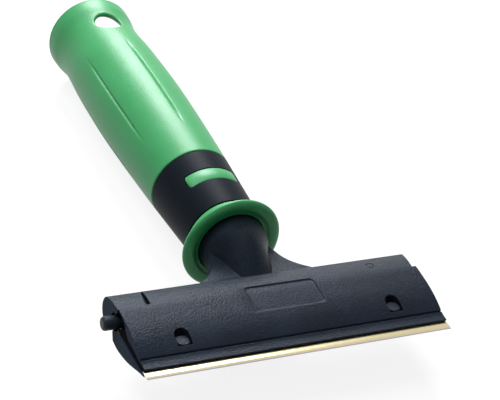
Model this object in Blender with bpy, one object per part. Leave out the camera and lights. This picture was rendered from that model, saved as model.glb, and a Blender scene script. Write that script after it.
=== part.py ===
"""Glass scraper: a push-bar clamp head on a two-tone handle with an open pole socket.

Lengths are in metres. Inside this file a place is given from the middle of the blade's front edge,
which lies on the handle's axis: x along the blade, y back towards the handle's rear end, z up.
The function world() moves such a place into the part's own frame, whose origin is at the middle
of the part's underside, so the handle lies level and the collar's rim touches z = 0.
"""
import math

import bmesh
import bpy
import numpy as np
from mathutils import Vector

# Clearance between two pieces that touch, and how far a cutter runs past the face it cuts.
FIT_GAP = 0.0003
CUT_OVERRUN = 0.0010

# Blade: a double-edged strip, held by two holes on its centre line.
BLADE_LENGTH = 0.1000
BLADE_WIDTH = 0.0220
BLADE_THICKNESS = 0.0004
BLADE_GRIND = 0.0011
PEG_SETIN = 0.0150

# Head: the jaws' lips, the crowned top and the round spine that holds the hinge.
SPINE_STEP_DEPTH = 0.0014
SPINE_STEP_AHEAD = 0.0007
FRONT_STEP_DEPTH = 0.0003
UPPER_LIP_SETBACK = 0.0032
LOWER_LIP_SETBACK = 0.0023
LIP_NOSE = 0.00045
HINGE_DROP = 0.0005
SPINE_RADIUS = 0.0049
CROWN_HEIGHT = 0.0052
BELLY_DEPTH = 0.0066
JAW_OPENING_DEG = 28.0
JAW_HOLLOW_DEG = 38.0
SEAM_SETBACK = 0.0067
SEAM_WIDTH = 0.0006
SEAM_DEPTH = 0.0005

# Outlines of the jaws, from the lip (0) back to the ridge or the spine (1), by height.
CROWN_SHARES = [(0.09, 0.24), (0.17, 0.43), (0.28, 0.65), (0.42, 0.83), (0.59, 0.95),
                (0.74, 1.0), (0.88, 0.90)]
BELLY_SHARES = [(0.13, 0.29), (0.32, 0.56), (0.50, 0.79), (0.66, 0.925), (0.84, 1.0), (0.97, 0.95)]
RIDGE_ANGLE_DEG = 60.0

# Hollow in the upper jaw's left end, beside the nub, as shares of the bar's setback and the crown's height.
END_HOLLOW_DEPTH = 0.0021
END_HOLLOW_SHARES = [(0.36, 0.077), (0.36, 0.15), (0.625, 0.19), (0.69, 0.365), (0.76, 0.60), (0.82, 0.75),
                     (0.90, 0.87), (0.955, 0.90), (0.975, 0.77), (1.0, 0.56), (1.0, 0.077)]

# Hinge: two steel pins, one from each end, through the knuckles of both jaws.
PIN_RADIUS = 0.0012
PIN_CLEARANCE = 0.00005
PIN_LENGTH = 0.0280
PIN_END_INSET = 0.0020
KNUCKLE_RADIUS = 0.00245
KNUCKLE_LENGTH = 0.0137
KNUCKLE_SETIN = 0.0143

# Release bar: pushed in at its round nub, it wedges the lower jaw open.
BAR_RADIUS = 0.0020
BLADE_REAR_ROOM = 0.0013
HINGE_BEHIND = 0.0047
BAR_RAISE = 0.0001
BAR_TRAVEL = 0.0040
NUB_DOME = 0.0011
NUB_DOME_ANGLES_DEG = (70, 45, 20)
NUB_RECESS_RADIUS = 0.0028
NUB_RECESS_DEPTH = 0.0024
BAR_END_SETIN = 0.0124
SPIGOT_RADIUS = 0.0009
SPIGOT_LENGTH = 0.0040
WEDGE_WIDTH = 0.0020
WEDGE_HEIGHT = 0.0019
WEDGE_SLOPE = 0.45
WEDGE_FLAT = 0.0012

# Return spring: a coil round the bar's spigot.
SPRING_RADIUS = 0.00155
SPRING_WIRE_RADIUS = 0.00022
SPRING_PRESSED_LENGTH = 0.0042
SPRING_TURNS = 7
SPRING_POINTS_PER_TURN = 12

# Locating pegs on the lower jaw and the pockets over them in the upper jaw.
PEG_RADIUS = 0.0020
PEG_TOP_RAISE = 0.0026
PEG_SLANT = 0.0002
PEG_POCKET_RADIUS = 0.0023
PEG_POCKET_BACK = 0.0012

# Narrow relief slot across the spine, near the nub's end.
RELIEF_SETIN = 0.0102
RELIEF_AHEAD = 0.0041
RELIEF_FRONT_RADIUS = 0.0010
RELIEF_REAR_WIDTH = 0.0009
RELIEF_FLOOR_RAISE = 0.0030

# Cored-out pockets on the jaws' inner faces, hidden while the head is shut.
CORE_COUNT = 8
CORE_END_SETIN = 0.0052
CORE_RIB = 0.0030
CORE_AHEAD = 0.0052
CORE_BREADTH = 0.0040
CORE_DEPTH = 0.0018

# Neck: the fairing widens from the spine to the round shank, with a thin web on each side.
NECK_LENGTH = 0.02355
NECK_FOOT_WIDTH = 0.0124
NECK_FOOT_HEIGHT = 0.0064
NECK_FOOT_BEHIND = 0.0030
NECK_STRAIGHT = 0.0040
NECK_LEAN_SHARE = 0.33
NECK_WIDTH_SHARES = [(0.0, 0.0), (0.115, 0.10), (0.387, 0.29), (0.64, 0.46), (0.816, 0.72), (0.967, 0.96),
                     (1.0, 1.0)]
SHANK_RADIUS = 0.0110
WEB_THICKNESS = 0.0040
WEB_FOOT_SPREAD = 0.0219
WEB_HEAD_SPREAD = 0.0106
WEB_FOOT_BEHIND = 0.0035
WEB_HEAD_AHEAD = 0.0046
WEB_CURVE_SHARES = [(0.0, 1.0), (0.09, 0.80), (0.20, 0.58), (0.34, 0.37), (0.50, 0.21), (0.72, 0.09),
                    (1.0, 0.0)]
PLUG_RADIUS = 0.0080
PLUG_LENGTH = 0.0400
PLUG_FLAT = 0.0070
PLUG_CHAMFER = 0.0008

# Thumb collar: a soft ring with a rounded rim and a hollowed front face.
COLLAR_RADIUS = 0.0165
COLLAR_RIM_RADIUS = 0.00175
COLLAR_RIM_BACK = 0.0003
COLLAR_NOSE = 0.0025
COLLAR_HOLLOW = 0.0010
COLLAR_SKIRT = 0.0052
COLLAR_FACE_SHARES = (0.18, 0.55)
COLLAR_RIM_ANGLES_DEG = (-25, 205)

# Handle: the dark sleeve, the grip's outline and the pole socket, by distance from the collar.
SLEEVE_FRONT_RADIUS = 0.0125
SLEEVE_REAR_RADIUS = 0.0140
GRIP_START = 0.0312
GRIP_LENGTH = 0.0965
GRIP_RADIUS = 0.0157
GRIP_WALL = 0.0015
GRIP_FRONT_ROUND = 0.0004
GRIP_RIM_ROUND = 0.0018
GRIP_RIM_ANGLES_DEG = (30, 60, 90)
GRIP_OUTLINE_SHARES = [(0.0, 0.895), (0.14, 0.936), (0.30, 0.975), (0.45, 0.998), (0.61, 0.991),
                       (0.73, 0.970), (0.81, 0.938), (0.853, 0.930), (0.895, 0.945), (0.94, 0.985),
                       (1.0, 1.0)]
SOCKET_MOUTH_RADIUS = 0.0128
SOCKET_FLOOR_RADIUS = 0.0110
SOCKET_MOUTH_CHAMFER = 0.0003
SOCKET_WEB = 0.0050
CORE_HOLE_MARGIN = 0.0043

# Six shallow grooves along the grip.
GROOVE_COUNT = 6
GROOVE_DEPTH = 0.0006
GROOVE_HALF_ANGLE_DEG = 2.6
GROOVE_FIRST_ANGLE_DEG = 4.0
GROOVE_FRONT_INSET = 0.0138
GROOVE_REAR_INSET = 0.0277
GROOVE_FADE = 0.0120

# Hanging hole through the grip and the socket's wall.
HOLE_RADIUS = 0.0046
HOLE_REAR_INSET = 0.0148

# Plain window pad let into the top of the sleeve.
WINDOW_FRONT_INSET = 0.0193
WINDOW_HALF_LENGTH = 0.0083
WINDOW_HALF_BREADTH = 0.0024
WINDOW_THICKNESS = 0.0012
WINDOW_PROUD = 0.0002
WINDOW_ROUND_DEG = 78.0
WINDOW_STATION_SHARES = (0.25, 0.5, 0.75)

# Screw and washer in the socket's floor, which pull the head's plug into the handle.
SCREW_RADIUS = 0.0024
SCREW_CLEARANCE = 0.00005
SCREW_HOLE_RADIUS = 0.0028
SCREW_GRIP_LENGTH = 0.0140
SCREW_HEAD_RADIUS = 0.0044
SCREW_HEAD_HEIGHT = 0.0030
SCREW_HEAD_ROUND = 0.0010
SCREW_HEAD_ROUND_SHARES = (0.3, 0.3)
SCREW_SOCKET_RADIUS = 0.0021
SCREW_SOCKET_DEPTH = 0.0018
SCREW_POINT = 0.0012
WASHER_RADIUS = 0.0062
WASHER_THICKNESS = 0.0010

# Facets round each kind of turned piece.
COLLAR_SIDES = 56
CORE_SIDES = 44
NECK_SIDES = 36
SMALL_SIDES = 24
BETWEEN_GROOVES = 6
GRIP_STEPS = 21
COVERED_STEPS = 12

# Sizes that follow from the ones above.
BAR_SETBACK = BLADE_WIDTH + BLADE_REAR_ROOM + BAR_RADIUS
HINGE_SETBACK = BAR_SETBACK + HINGE_BEHIND
COLLAR_SETBACK = HINGE_SETBACK + NECK_LENGTH
GRIP_END = GRIP_START + GRIP_LENGTH
TOTAL_LENGTH = COLLAR_SETBACK + GRIP_END
HEAD_WIDTH = BLADE_LENGTH
HALF_HEAD = HEAD_WIDTH / 2
HALF_BLADE_THICKNESS = BLADE_THICKNESS / 2
JAW_FACE = HALF_BLADE_THICKNESS + FIT_GAP
NUB_PROJECTION = BAR_TRAVEL
SPINE_STEP_SETBACK = BAR_SETBACK - SPINE_STEP_AHEAD
HINGE = Vector((0, HINGE_SETBACK, -HINGE_DROP))
BAR = Vector((0, BAR_SETBACK, BAR_RAISE))
FRAME = Vector((NUB_PROJECTION / 2, -TOTAL_LENGTH / 2, COLLAR_RADIUS))
RIDGE_SETBACK = HINGE_SETBACK + SPINE_RADIUS * math.cos(math.radians(RIDGE_ANGLE_DEG))
KNUCKLE_CENTRE = HALF_HEAD - KNUCKLE_SETIN - KNUCKLE_LENGTH / 2
KNUCKLE_SWING_ROOM = SPINE_RADIUS * math.sin(math.radians(JAW_OPENING_DEG)) + 2 * FIT_GAP
SPRING_LENGTH = SPRING_PRESSED_LENGTH + BAR_TRAVEL
BAR_REACH = HALF_HEAD - BAR_END_SETIN
BAR_BORE_RADIUS = BAR_RADIUS + FIT_GAP
BAR_BORE_END = BAR_REACH + FIT_GAP + SPRING_LENGTH + FIT_GAP
PEG_CENTRES = [(side * (BLADE_LENGTH / 2 - PEG_SETIN), BLADE_WIDTH / 2) for side in (-1, 1)]
RELIEF_FRONT_SETBACK = HINGE_SETBACK - RELIEF_AHEAD
CORE_PITCH = (HEAD_WIDTH - 2 * CORE_END_SETIN) / CORE_COUNT
CORE_LENGTH = CORE_PITCH - CORE_RIB
CORE_FRONT_SETBACK = BLADE_WIDTH - CORE_AHEAD
NECK_FOOT_SETBACK = HINGE_SETBACK + NECK_FOOT_BEHIND
NECK_FULL_SETBACK = COLLAR_SETBACK - NECK_STRAIGHT
WEB_FOOT_SETBACK = HINGE_SETBACK + WEB_FOOT_BEHIND
WEB_HEAD_SETBACK = COLLAR_SETBACK - WEB_HEAD_AHEAD
SLEEVE_START = COLLAR_SKIRT + FIT_GAP
SLEEVE_END = GRIP_START - FIT_GAP
SOCKET_FLOOR = PLUG_LENGTH + SOCKET_WEB
GROOVE_START = GRIP_START + GROOVE_FRONT_INSET
GROOVE_END = GRIP_END - GROOVE_REAR_INSET
HOLE_STATION = GRIP_END - HOLE_REAR_INSET
CORE_END = HOLE_STATION - HOLE_RADIUS - CORE_HOLE_MARGIN
WINDOW_STATION = WINDOW_FRONT_INSET


def world(place):
    """The part's own frame for a place given from the middle of the blade's edge."""
    return Vector(place) + FRAME


def clear_scene():
    """Empties the scene of its start-up objects."""
    for item in list(bpy.data.objects):
        bpy.data.objects.remove(item, do_unlink=True)


def material(name, colour, roughness, metallic=0.0):
    """A Principled material of one colour."""
    made = bpy.data.materials.new(name)
    made.use_nodes = True
    shader = made.node_tree.nodes["Principled BSDF"]
    shader.inputs["Base Color"].default_value = (*colour, 1.0)
    shader.inputs["Roughness"].default_value = roughness
    shader.inputs["Metallic"].default_value = metallic
    made.diffuse_color = (*colour, 1.0)
    return made


def add_object(name, mesh, origin, finish=None, flat_angle_deg=35.0):
    """Turns a bmesh into an object whose own origin is the given place, shaded smooth."""
    data = bpy.data.meshes.new(name)
    centre = world(origin)
    bmesh.ops.translate(mesh, verts=mesh.verts, vec=FRAME - centre)
    mesh.to_mesh(data)
    mesh.free()
    made = bpy.data.objects.new(name, data)
    made.location = centre
    bpy.context.scene.collection.objects.link(made)
    data.shade_smooth()
    data.set_sharp_from_angle(angle=math.radians(flat_angle_deg))
    if finish is not None:
        data.materials.append(finish)
    return made


def add_tool(name, mesh):
    """A hidden object that is only used to cut or to add to another."""
    tool = add_object(name, mesh, (0, 0, 0))
    tool.hide_render = True
    tool.display_type = 'WIRE'
    return tool


def combine(target, tool, operation):
    """Adds an exact Boolean of the tool to the target."""
    step = target.modifiers.new(tool.name, 'BOOLEAN')
    step.operation = operation
    step.solver = 'EXACT'
    step.object = tool


def skin(rings, looped, mesh=None):
    """Closes a row of rings into a solid, joined end to end or capped at both ends."""
    mesh = mesh or bmesh.new()
    rows = [[mesh.verts.new(point) for point in ring] for ring in rings]
    following_rows = rows[1:] + rows[:1] if looped else rows[1:]
    added = []
    for first, second in zip(rows, following_rows):
        for index in range(len(first)):
            after = (index + 1) % len(first)
            added.append(mesh.faces.new((first[index], first[after], second[after], second[index])))
    if not looped:
        added.append(mesh.faces.new(rows[0]))
        added.append(mesh.faces.new(rows[-1]))
    bmesh.ops.recalc_face_normals(mesh, faces=added)
    return mesh


def bar_along_x(outline, x_low, x_high, mesh=None):
    """Extrudes an outline of (y, z) pairs along the blade."""
    rings = [[Vector((x, y, z)) for y, z in outline] for x in (x_low, x_high)]
    return skin(rings, False, mesh)


def bar_along_y(outline, y_low, y_high, mesh=None):
    """Extrudes an outline of (x, z) pairs from front to back."""
    rings = [[Vector((x, y, z)) for x, z in outline] for y in (y_low, y_high)]
    return skin(rings, False, mesh)


def bar_along_z(outline, z_low, z_high, mesh=None):
    """Extrudes an outline of (x, y) pairs upwards."""
    rings = [[Vector((x, y, z)) for x, y in outline] for z in (z_low, z_high)]
    return skin(rings, False, mesh)


def box(low, high, mesh=None):
    """A rectangular block between two corners."""
    outline = [(low[0], low[1]), (high[0], low[1]), (high[0], high[1]), (low[0], high[1])]
    return bar_along_z(outline, low[2], high[2], mesh)


def arc(centre, radius, start_deg, end_deg, steps):
    """Points on an arc round a centre given as a pair, from one angle to another."""
    angles = np.radians(np.linspace(start_deg, end_deg, steps + 1))
    return [(centre[0] + radius * math.cos(a), centre[1] + radius * math.sin(a)) for a in angles]


def circle(centre, radius, sides):
    """The corners of a regular outline round a centre given as a pair."""
    return arc(centre, radius, 0, 360, sides)[:-1]


def even_angles(sides):
    """Angles round the handle's axis, from its top towards +x, with one at the very bottom."""
    return [2 * math.pi * index / sides for index in range(sides)]


def handle_ring(distance, radius, angles, half_width=None):
    """A ring round the handle's axis, with flat sides where a half width is given."""
    limit = radius if half_width is None else half_width
    return [Vector((max(-limit, min(limit, radius * math.sin(a))), distance, radius * math.cos(a)))
            for a in angles]


def smooth_curve(shares, place):
    """Reads a table of (place, value) shares as a curve without corners."""
    places = [row[0] for row in shares]
    values = [row[1] for row in shares]
    slopes = np.gradient(values, places)
    index = min(max(int(np.searchsorted(places, place)) - 1, 0), len(places) - 2)
    span = places[index + 1] - places[index]
    t = (place - places[index]) / span
    start = values[index] * (1 + 2 * t) * (1 - t) ** 2 + slopes[index] * span * t * (1 - t) ** 2
    end = values[index + 1] * t * t * (3 - 2 * t) + slopes[index + 1] * span * t * t * (t - 1)
    return start + end


def ease(t):
    """A smooth step from 0 to 1."""
    t = min(max(t, 0.0), 1.0)
    return t * t * (3 - 2 * t)


# Blade

def blade_outline():
    """Cross-section of the blade, ground to an edge on both sides."""
    return [(0, 0), (BLADE_GRIND, -HALF_BLADE_THICKNESS), (BLADE_WIDTH - BLADE_GRIND, -HALF_BLADE_THICKNESS),
            (BLADE_WIDTH, 0), (BLADE_WIDTH - BLADE_GRIND, HALF_BLADE_THICKNESS),
            (BLADE_GRIND, HALF_BLADE_THICKNESS)]


def make_blade(finish):
    """The replaceable steel blade with its two peg holes."""
    blade = add_object("blade", bar_along_x(blade_outline(), -BLADE_LENGTH / 2, BLADE_LENGTH / 2),
                       (0, 0, 0), finish)
    holes = bmesh.new()
    for centre in PEG_CENTRES:
        bar_along_z(circle(centre, PEG_RADIUS + FIT_GAP, SMALL_SIDES), -CUT_OVERRUN, CUT_OVERRUN, holes)
    combine(blade, add_tool("blade_holes_tool", holes), 'DIFFERENCE')
    return blade


# Upper jaw, spine, neck and plug

def crown_outline():
    """The upper jaw's top from the lip to the ridge."""
    depth = RIDGE_SETBACK - UPPER_LIP_SETBACK
    return [(UPPER_LIP_SETBACK + depth * back, CROWN_HEIGHT * up) for back, up in CROWN_SHARES]


def crown_height(y):
    """Height of the upper jaw's top at a distance from the blade's edge."""
    outline = crown_outline()
    return float(np.interp(y, [p[0] for p in outline], [p[1] for p in outline]))


def seam_outline():
    """The narrow groove across the crown that sets the lip apart."""
    top = crown_height(SEAM_SETBACK)
    wall = SEAM_WIDTH / 2
    return [(SEAM_SETBACK - wall, top + CUT_OVERRUN), (SEAM_SETBACK - wall, top),
            (SEAM_SETBACK, top - SEAM_DEPTH), (SEAM_SETBACK + wall, top), (SEAM_SETBACK + wall, top + CUT_OVERRUN)]


def end_steps():
    """Plan views of what is cut off the crown's ends: a slanted step behind the bar at the right end
    and a shallow one in front of it at the left end."""
    out = HALF_HEAD + CUT_OVERRUN
    right = [(out, SPINE_STEP_SETBACK), (out, RIDGE_SETBACK), (HALF_HEAD, RIDGE_SETBACK),
             (HALF_HEAD - SPINE_STEP_DEPTH, SPINE_STEP_SETBACK)]
    left = [(-out, UPPER_LIP_SETBACK - CUT_OVERRUN), (FRONT_STEP_DEPTH - HALF_HEAD, UPPER_LIP_SETBACK - CUT_OVERRUN),
            (FRONT_STEP_DEPTH - HALF_HEAD, SPINE_STEP_SETBACK), (-out, SPINE_STEP_SETBACK)]
    return right, left


def upper_jaw_outline():
    """Cross-section of the upper jaw with the round spine, seen from the side."""
    front_angle = 180 - math.degrees(math.asin((JAW_FACE + HINGE_DROP) / SPINE_RADIUS))
    spine = arc((HINGE.y, HINGE.z), SPINE_RADIUS, front_angle, 360 + RIDGE_ANGLE_DEG, 22)
    lip = [(UPPER_LIP_SETBACK, JAW_FACE + LIP_NOSE), (UPPER_LIP_SETBACK, JAW_FACE)]
    return lip + spine + crown_outline()[::-1]


def leaned(value, power):
    """A sine or cosine raised to a power with its sign kept, which slims a round section's flanks."""
    return math.copysign(abs(value) ** power, value)


def neck_rings():
    """Rings of the fairing, the round shank and the flatted plug."""
    angles = even_angles(NECK_SIDES)
    rings = []
    steps = 9
    for step in range(steps + 1):
        t = step / steps
        y = HINGE_SETBACK + (NECK_FULL_SETBACK - HINGE_SETBACK) * t
        grown = max(0.0, (y - NECK_FOOT_SETBACK) / (NECK_FULL_SETBACK - NECK_FOOT_SETBACK))
        spread = smooth_curve(NECK_WIDTH_SHARES, grown)
        wide = NECK_FOOT_WIDTH / 2 + (SHANK_RADIUS - NECK_FOOT_WIDTH / 2) * spread
        tall = NECK_FOOT_HEIGHT / 2 + (SHANK_RADIUS - NECK_FOOT_HEIGHT / 2) * math.sin(grown * math.pi / 2)
        lean = 1 + NECK_LEAN_SHARE * (1 - grown)
        rings.append([Vector((wide * leaned(math.sin(a), lean), y, tall * leaned(math.cos(a), lean)))
                      for a in angles])
    shank_end = COLLAR_SETBACK - 2 * FIT_GAP
    plug_end = COLLAR_SETBACK + PLUG_LENGTH
    rings.append(handle_ring(shank_end, SHANK_RADIUS, angles))
    rings.append(handle_ring(shank_end, PLUG_RADIUS, angles, PLUG_FLAT))
    rings.append(handle_ring(plug_end - PLUG_CHAMFER, PLUG_RADIUS, angles, PLUG_FLAT))
    rings.append(handle_ring(plug_end, PLUG_RADIUS - PLUG_CHAMFER, angles, PLUG_FLAT - PLUG_CHAMFER))
    return rings


def web_outline():
    """Plan view of the thin webs on both sides of the fairing, with their hollowed edges."""
    run = WEB_HEAD_SETBACK - WEB_FOOT_SETBACK
    spread = WEB_FOOT_SPREAD - WEB_HEAD_SPREAD
    edge = [(WEB_HEAD_SPREAD + spread * out, WEB_FOOT_SETBACK + run * back) for back, out in WEB_CURVE_SHARES]
    side = [(WEB_FOOT_SPREAD, HINGE_SETBACK)] + edge
    return side + [(-x, y) for x, y in reversed(side)]


def knuckle_spans():
    """The two stretches of the spine that belong to the lower jaw's knuckles."""
    return [(side * KNUCKLE_CENTRE - KNUCKLE_LENGTH / 2, side * KNUCKLE_CENTRE + KNUCKLE_LENGTH / 2)
            for side in (-1, 1)]


def cut_knuckle_rooms(jaw):
    """Clears the spine for the lower jaw's knuckles and for their swing."""
    rooms = bmesh.new()
    swing = bmesh.new()
    below = -HINGE_DROP - SPINE_RADIUS - CUT_OVERRUN
    for low, high in knuckle_spans():
        x_low, x_high = low - FIT_GAP, high + FIT_GAP
        front = BAR_SETBACK - BAR_RADIUS
        box((x_low, front, below), (x_high, HINGE_SETBACK, JAW_FACE), rooms)
        box((x_low, HINGE_SETBACK - CUT_OVERRUN, below),
            (x_high, HINGE_SETBACK + KNUCKLE_SWING_ROOM, -HINGE_DROP - KNUCKLE_RADIUS * math.cos(math.pi / 4)),
            swing)
    combine(jaw, add_tool("knuckle_front_tool", rooms), 'DIFFERENCE')
    combine(jaw, add_tool("knuckle_swing_tool", swing), 'DIFFERENCE')
    rounds = bmesh.new()
    for low, high in knuckle_spans():
        bar_along_x(circle((HINGE.y, HINGE.z), KNUCKLE_RADIUS + FIT_GAP, SMALL_SIDES),
                    low - FIT_GAP, high + FIT_GAP, rounds)
    combine(jaw, add_tool("knuckle_round_tool", rounds), 'DIFFERENCE')


def peg_pocket_outline(centre):
    """Plan view of a peg's pocket: round behind and square in front."""
    x, y = centre
    back = arc((x, y + PEG_POCKET_BACK), PEG_POCKET_RADIUS, 0, 180, 10)
    return back + [(x - PEG_POCKET_RADIUS, y - PEG_POCKET_RADIUS), (x + PEG_POCKET_RADIUS, y - PEG_POCKET_RADIUS)]


def relief_outline():
    """Plan view of the narrow slot across the spine, wider and round at its front."""
    x = -HALF_HEAD + RELIEF_SETIN
    nose = arc((x, RELIEF_FRONT_SETBACK), RELIEF_FRONT_RADIUS, 180, 360, 8)
    rear = RIDGE_SETBACK + CUT_OVERRUN
    return nose + [(x + RELIEF_REAR_WIDTH / 2, rear), (x - RELIEF_REAR_WIDTH / 2, rear)]


def core_pockets(z_low, z_high):
    """A row of cored-out pockets behind the pegs."""
    pockets = bmesh.new()
    first = -CORE_PITCH * (CORE_COUNT - 1) / 2
    for index in range(CORE_COUNT):
        x = first + CORE_PITCH * index
        box((x - CORE_LENGTH / 2, CORE_FRONT_SETBACK, z_low),
            (x + CORE_LENGTH / 2, CORE_FRONT_SETBACK + CORE_BREADTH, z_high), pockets)
    return pockets


def end_hollow():
    """The hollow beside the nub, open to the left end and to the gap between the jaws."""
    outline = [(BAR_SETBACK * back, CROWN_HEIGHT * up) for back, up in END_HOLLOW_SHARES]
    return add_tool("end_hollow_tool", bar_along_x(outline, -HALF_HEAD - CUT_OVERRUN, -HALF_HEAD + END_HOLLOW_DEPTH))


def make_upper_jaw(finish, bar_bore, nub_recess, pin_bores, screw_bore):
    """The upper jaw, spine, neck and plug: one moulding that carries everything in the head."""
    jaw = add_object("head_shell", bar_along_x(upper_jaw_outline(), -HALF_HEAD, HALF_HEAD),
                     (0, HINGE_SETBACK, 0), finish)
    trims = bmesh.new()
    for plan in end_steps():
        bar_along_z(plan, -SPINE_RADIUS - HINGE_DROP - CUT_OVERRUN, CROWN_HEIGHT + CUT_OVERRUN, trims)
    combine(jaw, add_tool("end_step_tool", trims), 'DIFFERENCE')
    reach = HALF_HEAD + CUT_OVERRUN
    combine(jaw, add_tool("seam_tool", bar_along_x(seam_outline(), -reach, reach)), 'DIFFERENCE')
    combine(jaw, add_tool("neck_tool", skin(neck_rings(), False)), 'UNION')
    combine(jaw, add_tool("web_tool", bar_along_z(web_outline(), -WEB_THICKNESS / 2, WEB_THICKNESS / 2)), 'UNION')
    cut_knuckle_rooms(jaw)
    for tool in (bar_bore, nub_recess, pin_bores, screw_bore):
        combine(jaw, tool, 'DIFFERENCE')
    pockets = bmesh.new()
    for centre in PEG_CENTRES:
        bar_along_z(peg_pocket_outline(centre), -CUT_OVERRUN, CROWN_HEIGHT + CUT_OVERRUN, pockets)
    combine(jaw, add_tool("peg_pocket_tool", pockets), 'DIFFERENCE')
    combine(jaw, end_hollow(), 'DIFFERENCE')
    combine(jaw, add_tool("relief_tool", bar_along_z(relief_outline(), RELIEF_FLOOR_RAISE,
                                                     CROWN_HEIGHT + CUT_OVERRUN)), 'DIFFERENCE')
    combine(jaw, add_tool("upper_core_tool", core_pockets(-CUT_OVERRUN, JAW_FACE + CORE_DEPTH)), 'DIFFERENCE')
    return jaw


# Lower jaw

def belly_outline():
    """The lower jaw's underside from the lip to its rear corner."""
    depth = BAR_SETBACK - LOWER_LIP_SETBACK
    return [(LOWER_LIP_SETBACK + depth * back, -BELLY_DEPTH * down) for back, down in BELLY_SHARES]


def lower_jaw_outline():
    """Cross-section of the lower jaw between the knuckles, hollowed behind to clear the spine."""
    clear_radius = SPINE_RADIUS + FIT_GAP
    top_angle = 180 - math.degrees(math.asin((HINGE_DROP - JAW_FACE) / clear_radius))
    rear = arc((HINGE.y, HINGE.z), clear_radius, top_angle, top_angle + JAW_HOLLOW_DEG, 5)
    nose = [(LOWER_LIP_SETBACK, -JAW_FACE), (LOWER_LIP_SETBACK, -JAW_FACE - LIP_NOSE)]
    return nose + belly_outline() + rear[::-1]


def knuckle_outline():
    """Cross-section of a knuckle with the stretch of jaw that carries it."""
    belly = belly_outline()
    front = belly[-3]
    eye = arc((HINGE.y, HINGE.z), KNUCKLE_RADIUS, 180, -90, 18)
    bottom = -HINGE_DROP - SPINE_RADIUS
    return [(front[0], -JAW_FACE), (HINGE_SETBACK - KNUCKLE_RADIUS, -JAW_FACE)] + eye[1:] + [
        (HINGE_SETBACK, bottom), (HINGE_SETBACK - KNUCKLE_RADIUS, bottom), belly[-1], belly[-2], front]


def wedge_outline(x_centre, clearance):
    """Side view of a wedge on the lower jaw, or of the notch over it when given a clearance."""
    top = BAR_RAISE - BAR_RADIUS + WEDGE_HEIGHT - FIT_GAP + clearance
    base = BAR_RAISE - BAR_RADIUS - 2 * FIT_GAP - clearance
    run = (top - base) / WEDGE_SLOPE
    right = x_centre + WEDGE_FLAT / 2 + clearance
    left = x_centre - WEDGE_FLAT / 2 - clearance
    return [(left - run, base), (right, base), (right, top), (left, top)]


def peg_mesh():
    """Both pegs, each cut to a slant that follows the crown over it."""
    pegs = bmesh.new()
    for x, y in PEG_CENTRES:
        outline = circle((x, y), PEG_RADIUS, SMALL_SIDES)
        rise = PEG_SLANT / (2 * PEG_RADIUS)
        foot = [Vector((px, py, -JAW_FACE - LIP_NOSE)) for px, py in outline]
        head = [Vector((px, py, PEG_TOP_RAISE + (py - y) * rise - PEG_SLANT / 2)) for px, py in outline]
        skin([foot, head], False, pegs)
    return pegs


def make_lower_jaw(finish, bar_bore, nub_recess, pin_bores):
    """The hinged lower jaw with its knuckles, locating pegs and opening wedges."""
    jaw = add_object("clamp_flap", bar_along_x(lower_jaw_outline(), -HALF_HEAD, HALF_HEAD),
                     HINGE, finish)
    knuckles = bmesh.new()
    for low, high in knuckle_spans():
        bar_along_x(knuckle_outline(), low, high, knuckles)
    combine(jaw, add_tool("knuckle_tool", knuckles), 'UNION')
    combine(jaw, bar_bore, 'DIFFERENCE')
    combine(jaw, nub_recess, 'DIFFERENCE')
    combine(jaw, pin_bores, 'DIFFERENCE')
    wedges = bmesh.new()
    for side in (-1, 1):
        outline = wedge_outline(side * KNUCKLE_CENTRE, 0)
        floor = BAR_RAISE - BAR_BORE_RADIUS - LIP_NOSE
        rooted = [(outline[0][0], floor), (outline[1][0], floor)] + outline[1:] + outline[:1]
        bar_along_y(rooted, BAR_SETBACK - WEDGE_WIDTH / 2, BAR_SETBACK + WEDGE_WIDTH / 2, wedges)
    combine(jaw, add_tool("wedge_tool", wedges), 'UNION')
    combine(jaw, add_tool("peg_tool", peg_mesh()), 'UNION')
    combine(jaw, add_tool("lower_core_tool", core_pockets(-JAW_FACE - CORE_DEPTH, CUT_OVERRUN)), 'DIFFERENCE')
    return jaw


# Hinge pins, release bar and its spring

def make_hinge_pin(name, side, finish):
    """One steel hinge pin, pushed in from its end of the head."""
    outer = side * (HALF_HEAD - PIN_END_INSET)
    inner = outer - side * PIN_LENGTH
    outline = circle((HINGE.y, HINGE.z), PIN_RADIUS, SMALL_SIDES)
    return add_object(name, bar_along_x(outline, min(inner, outer), max(inner, outer)), HINGE, finish)


def make_pin_bores():
    """Bores for both hinge pins, open at the ends of the head."""
    bores = bmesh.new()
    for side in (-1, 1):
        outer = side * (HALF_HEAD + CUT_OVERRUN)
        inner = side * (HALF_HEAD - PIN_END_INSET - PIN_LENGTH - FIT_GAP)
        outline = circle((HINGE.y, HINGE.z), PIN_RADIUS + PIN_CLEARANCE, SMALL_SIDES)
        bar_along_x(outline, min(inner, outer), max(inner, outer), bores)
    return add_tool("pin_bore_tool", bores)


def bar_ring(x, radius):
    """A ring round the release bar's axis."""
    return [Vector((x, y, z)) for y, z in circle((BAR.y, BAR.z), radius, SMALL_SIDES)]


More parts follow.
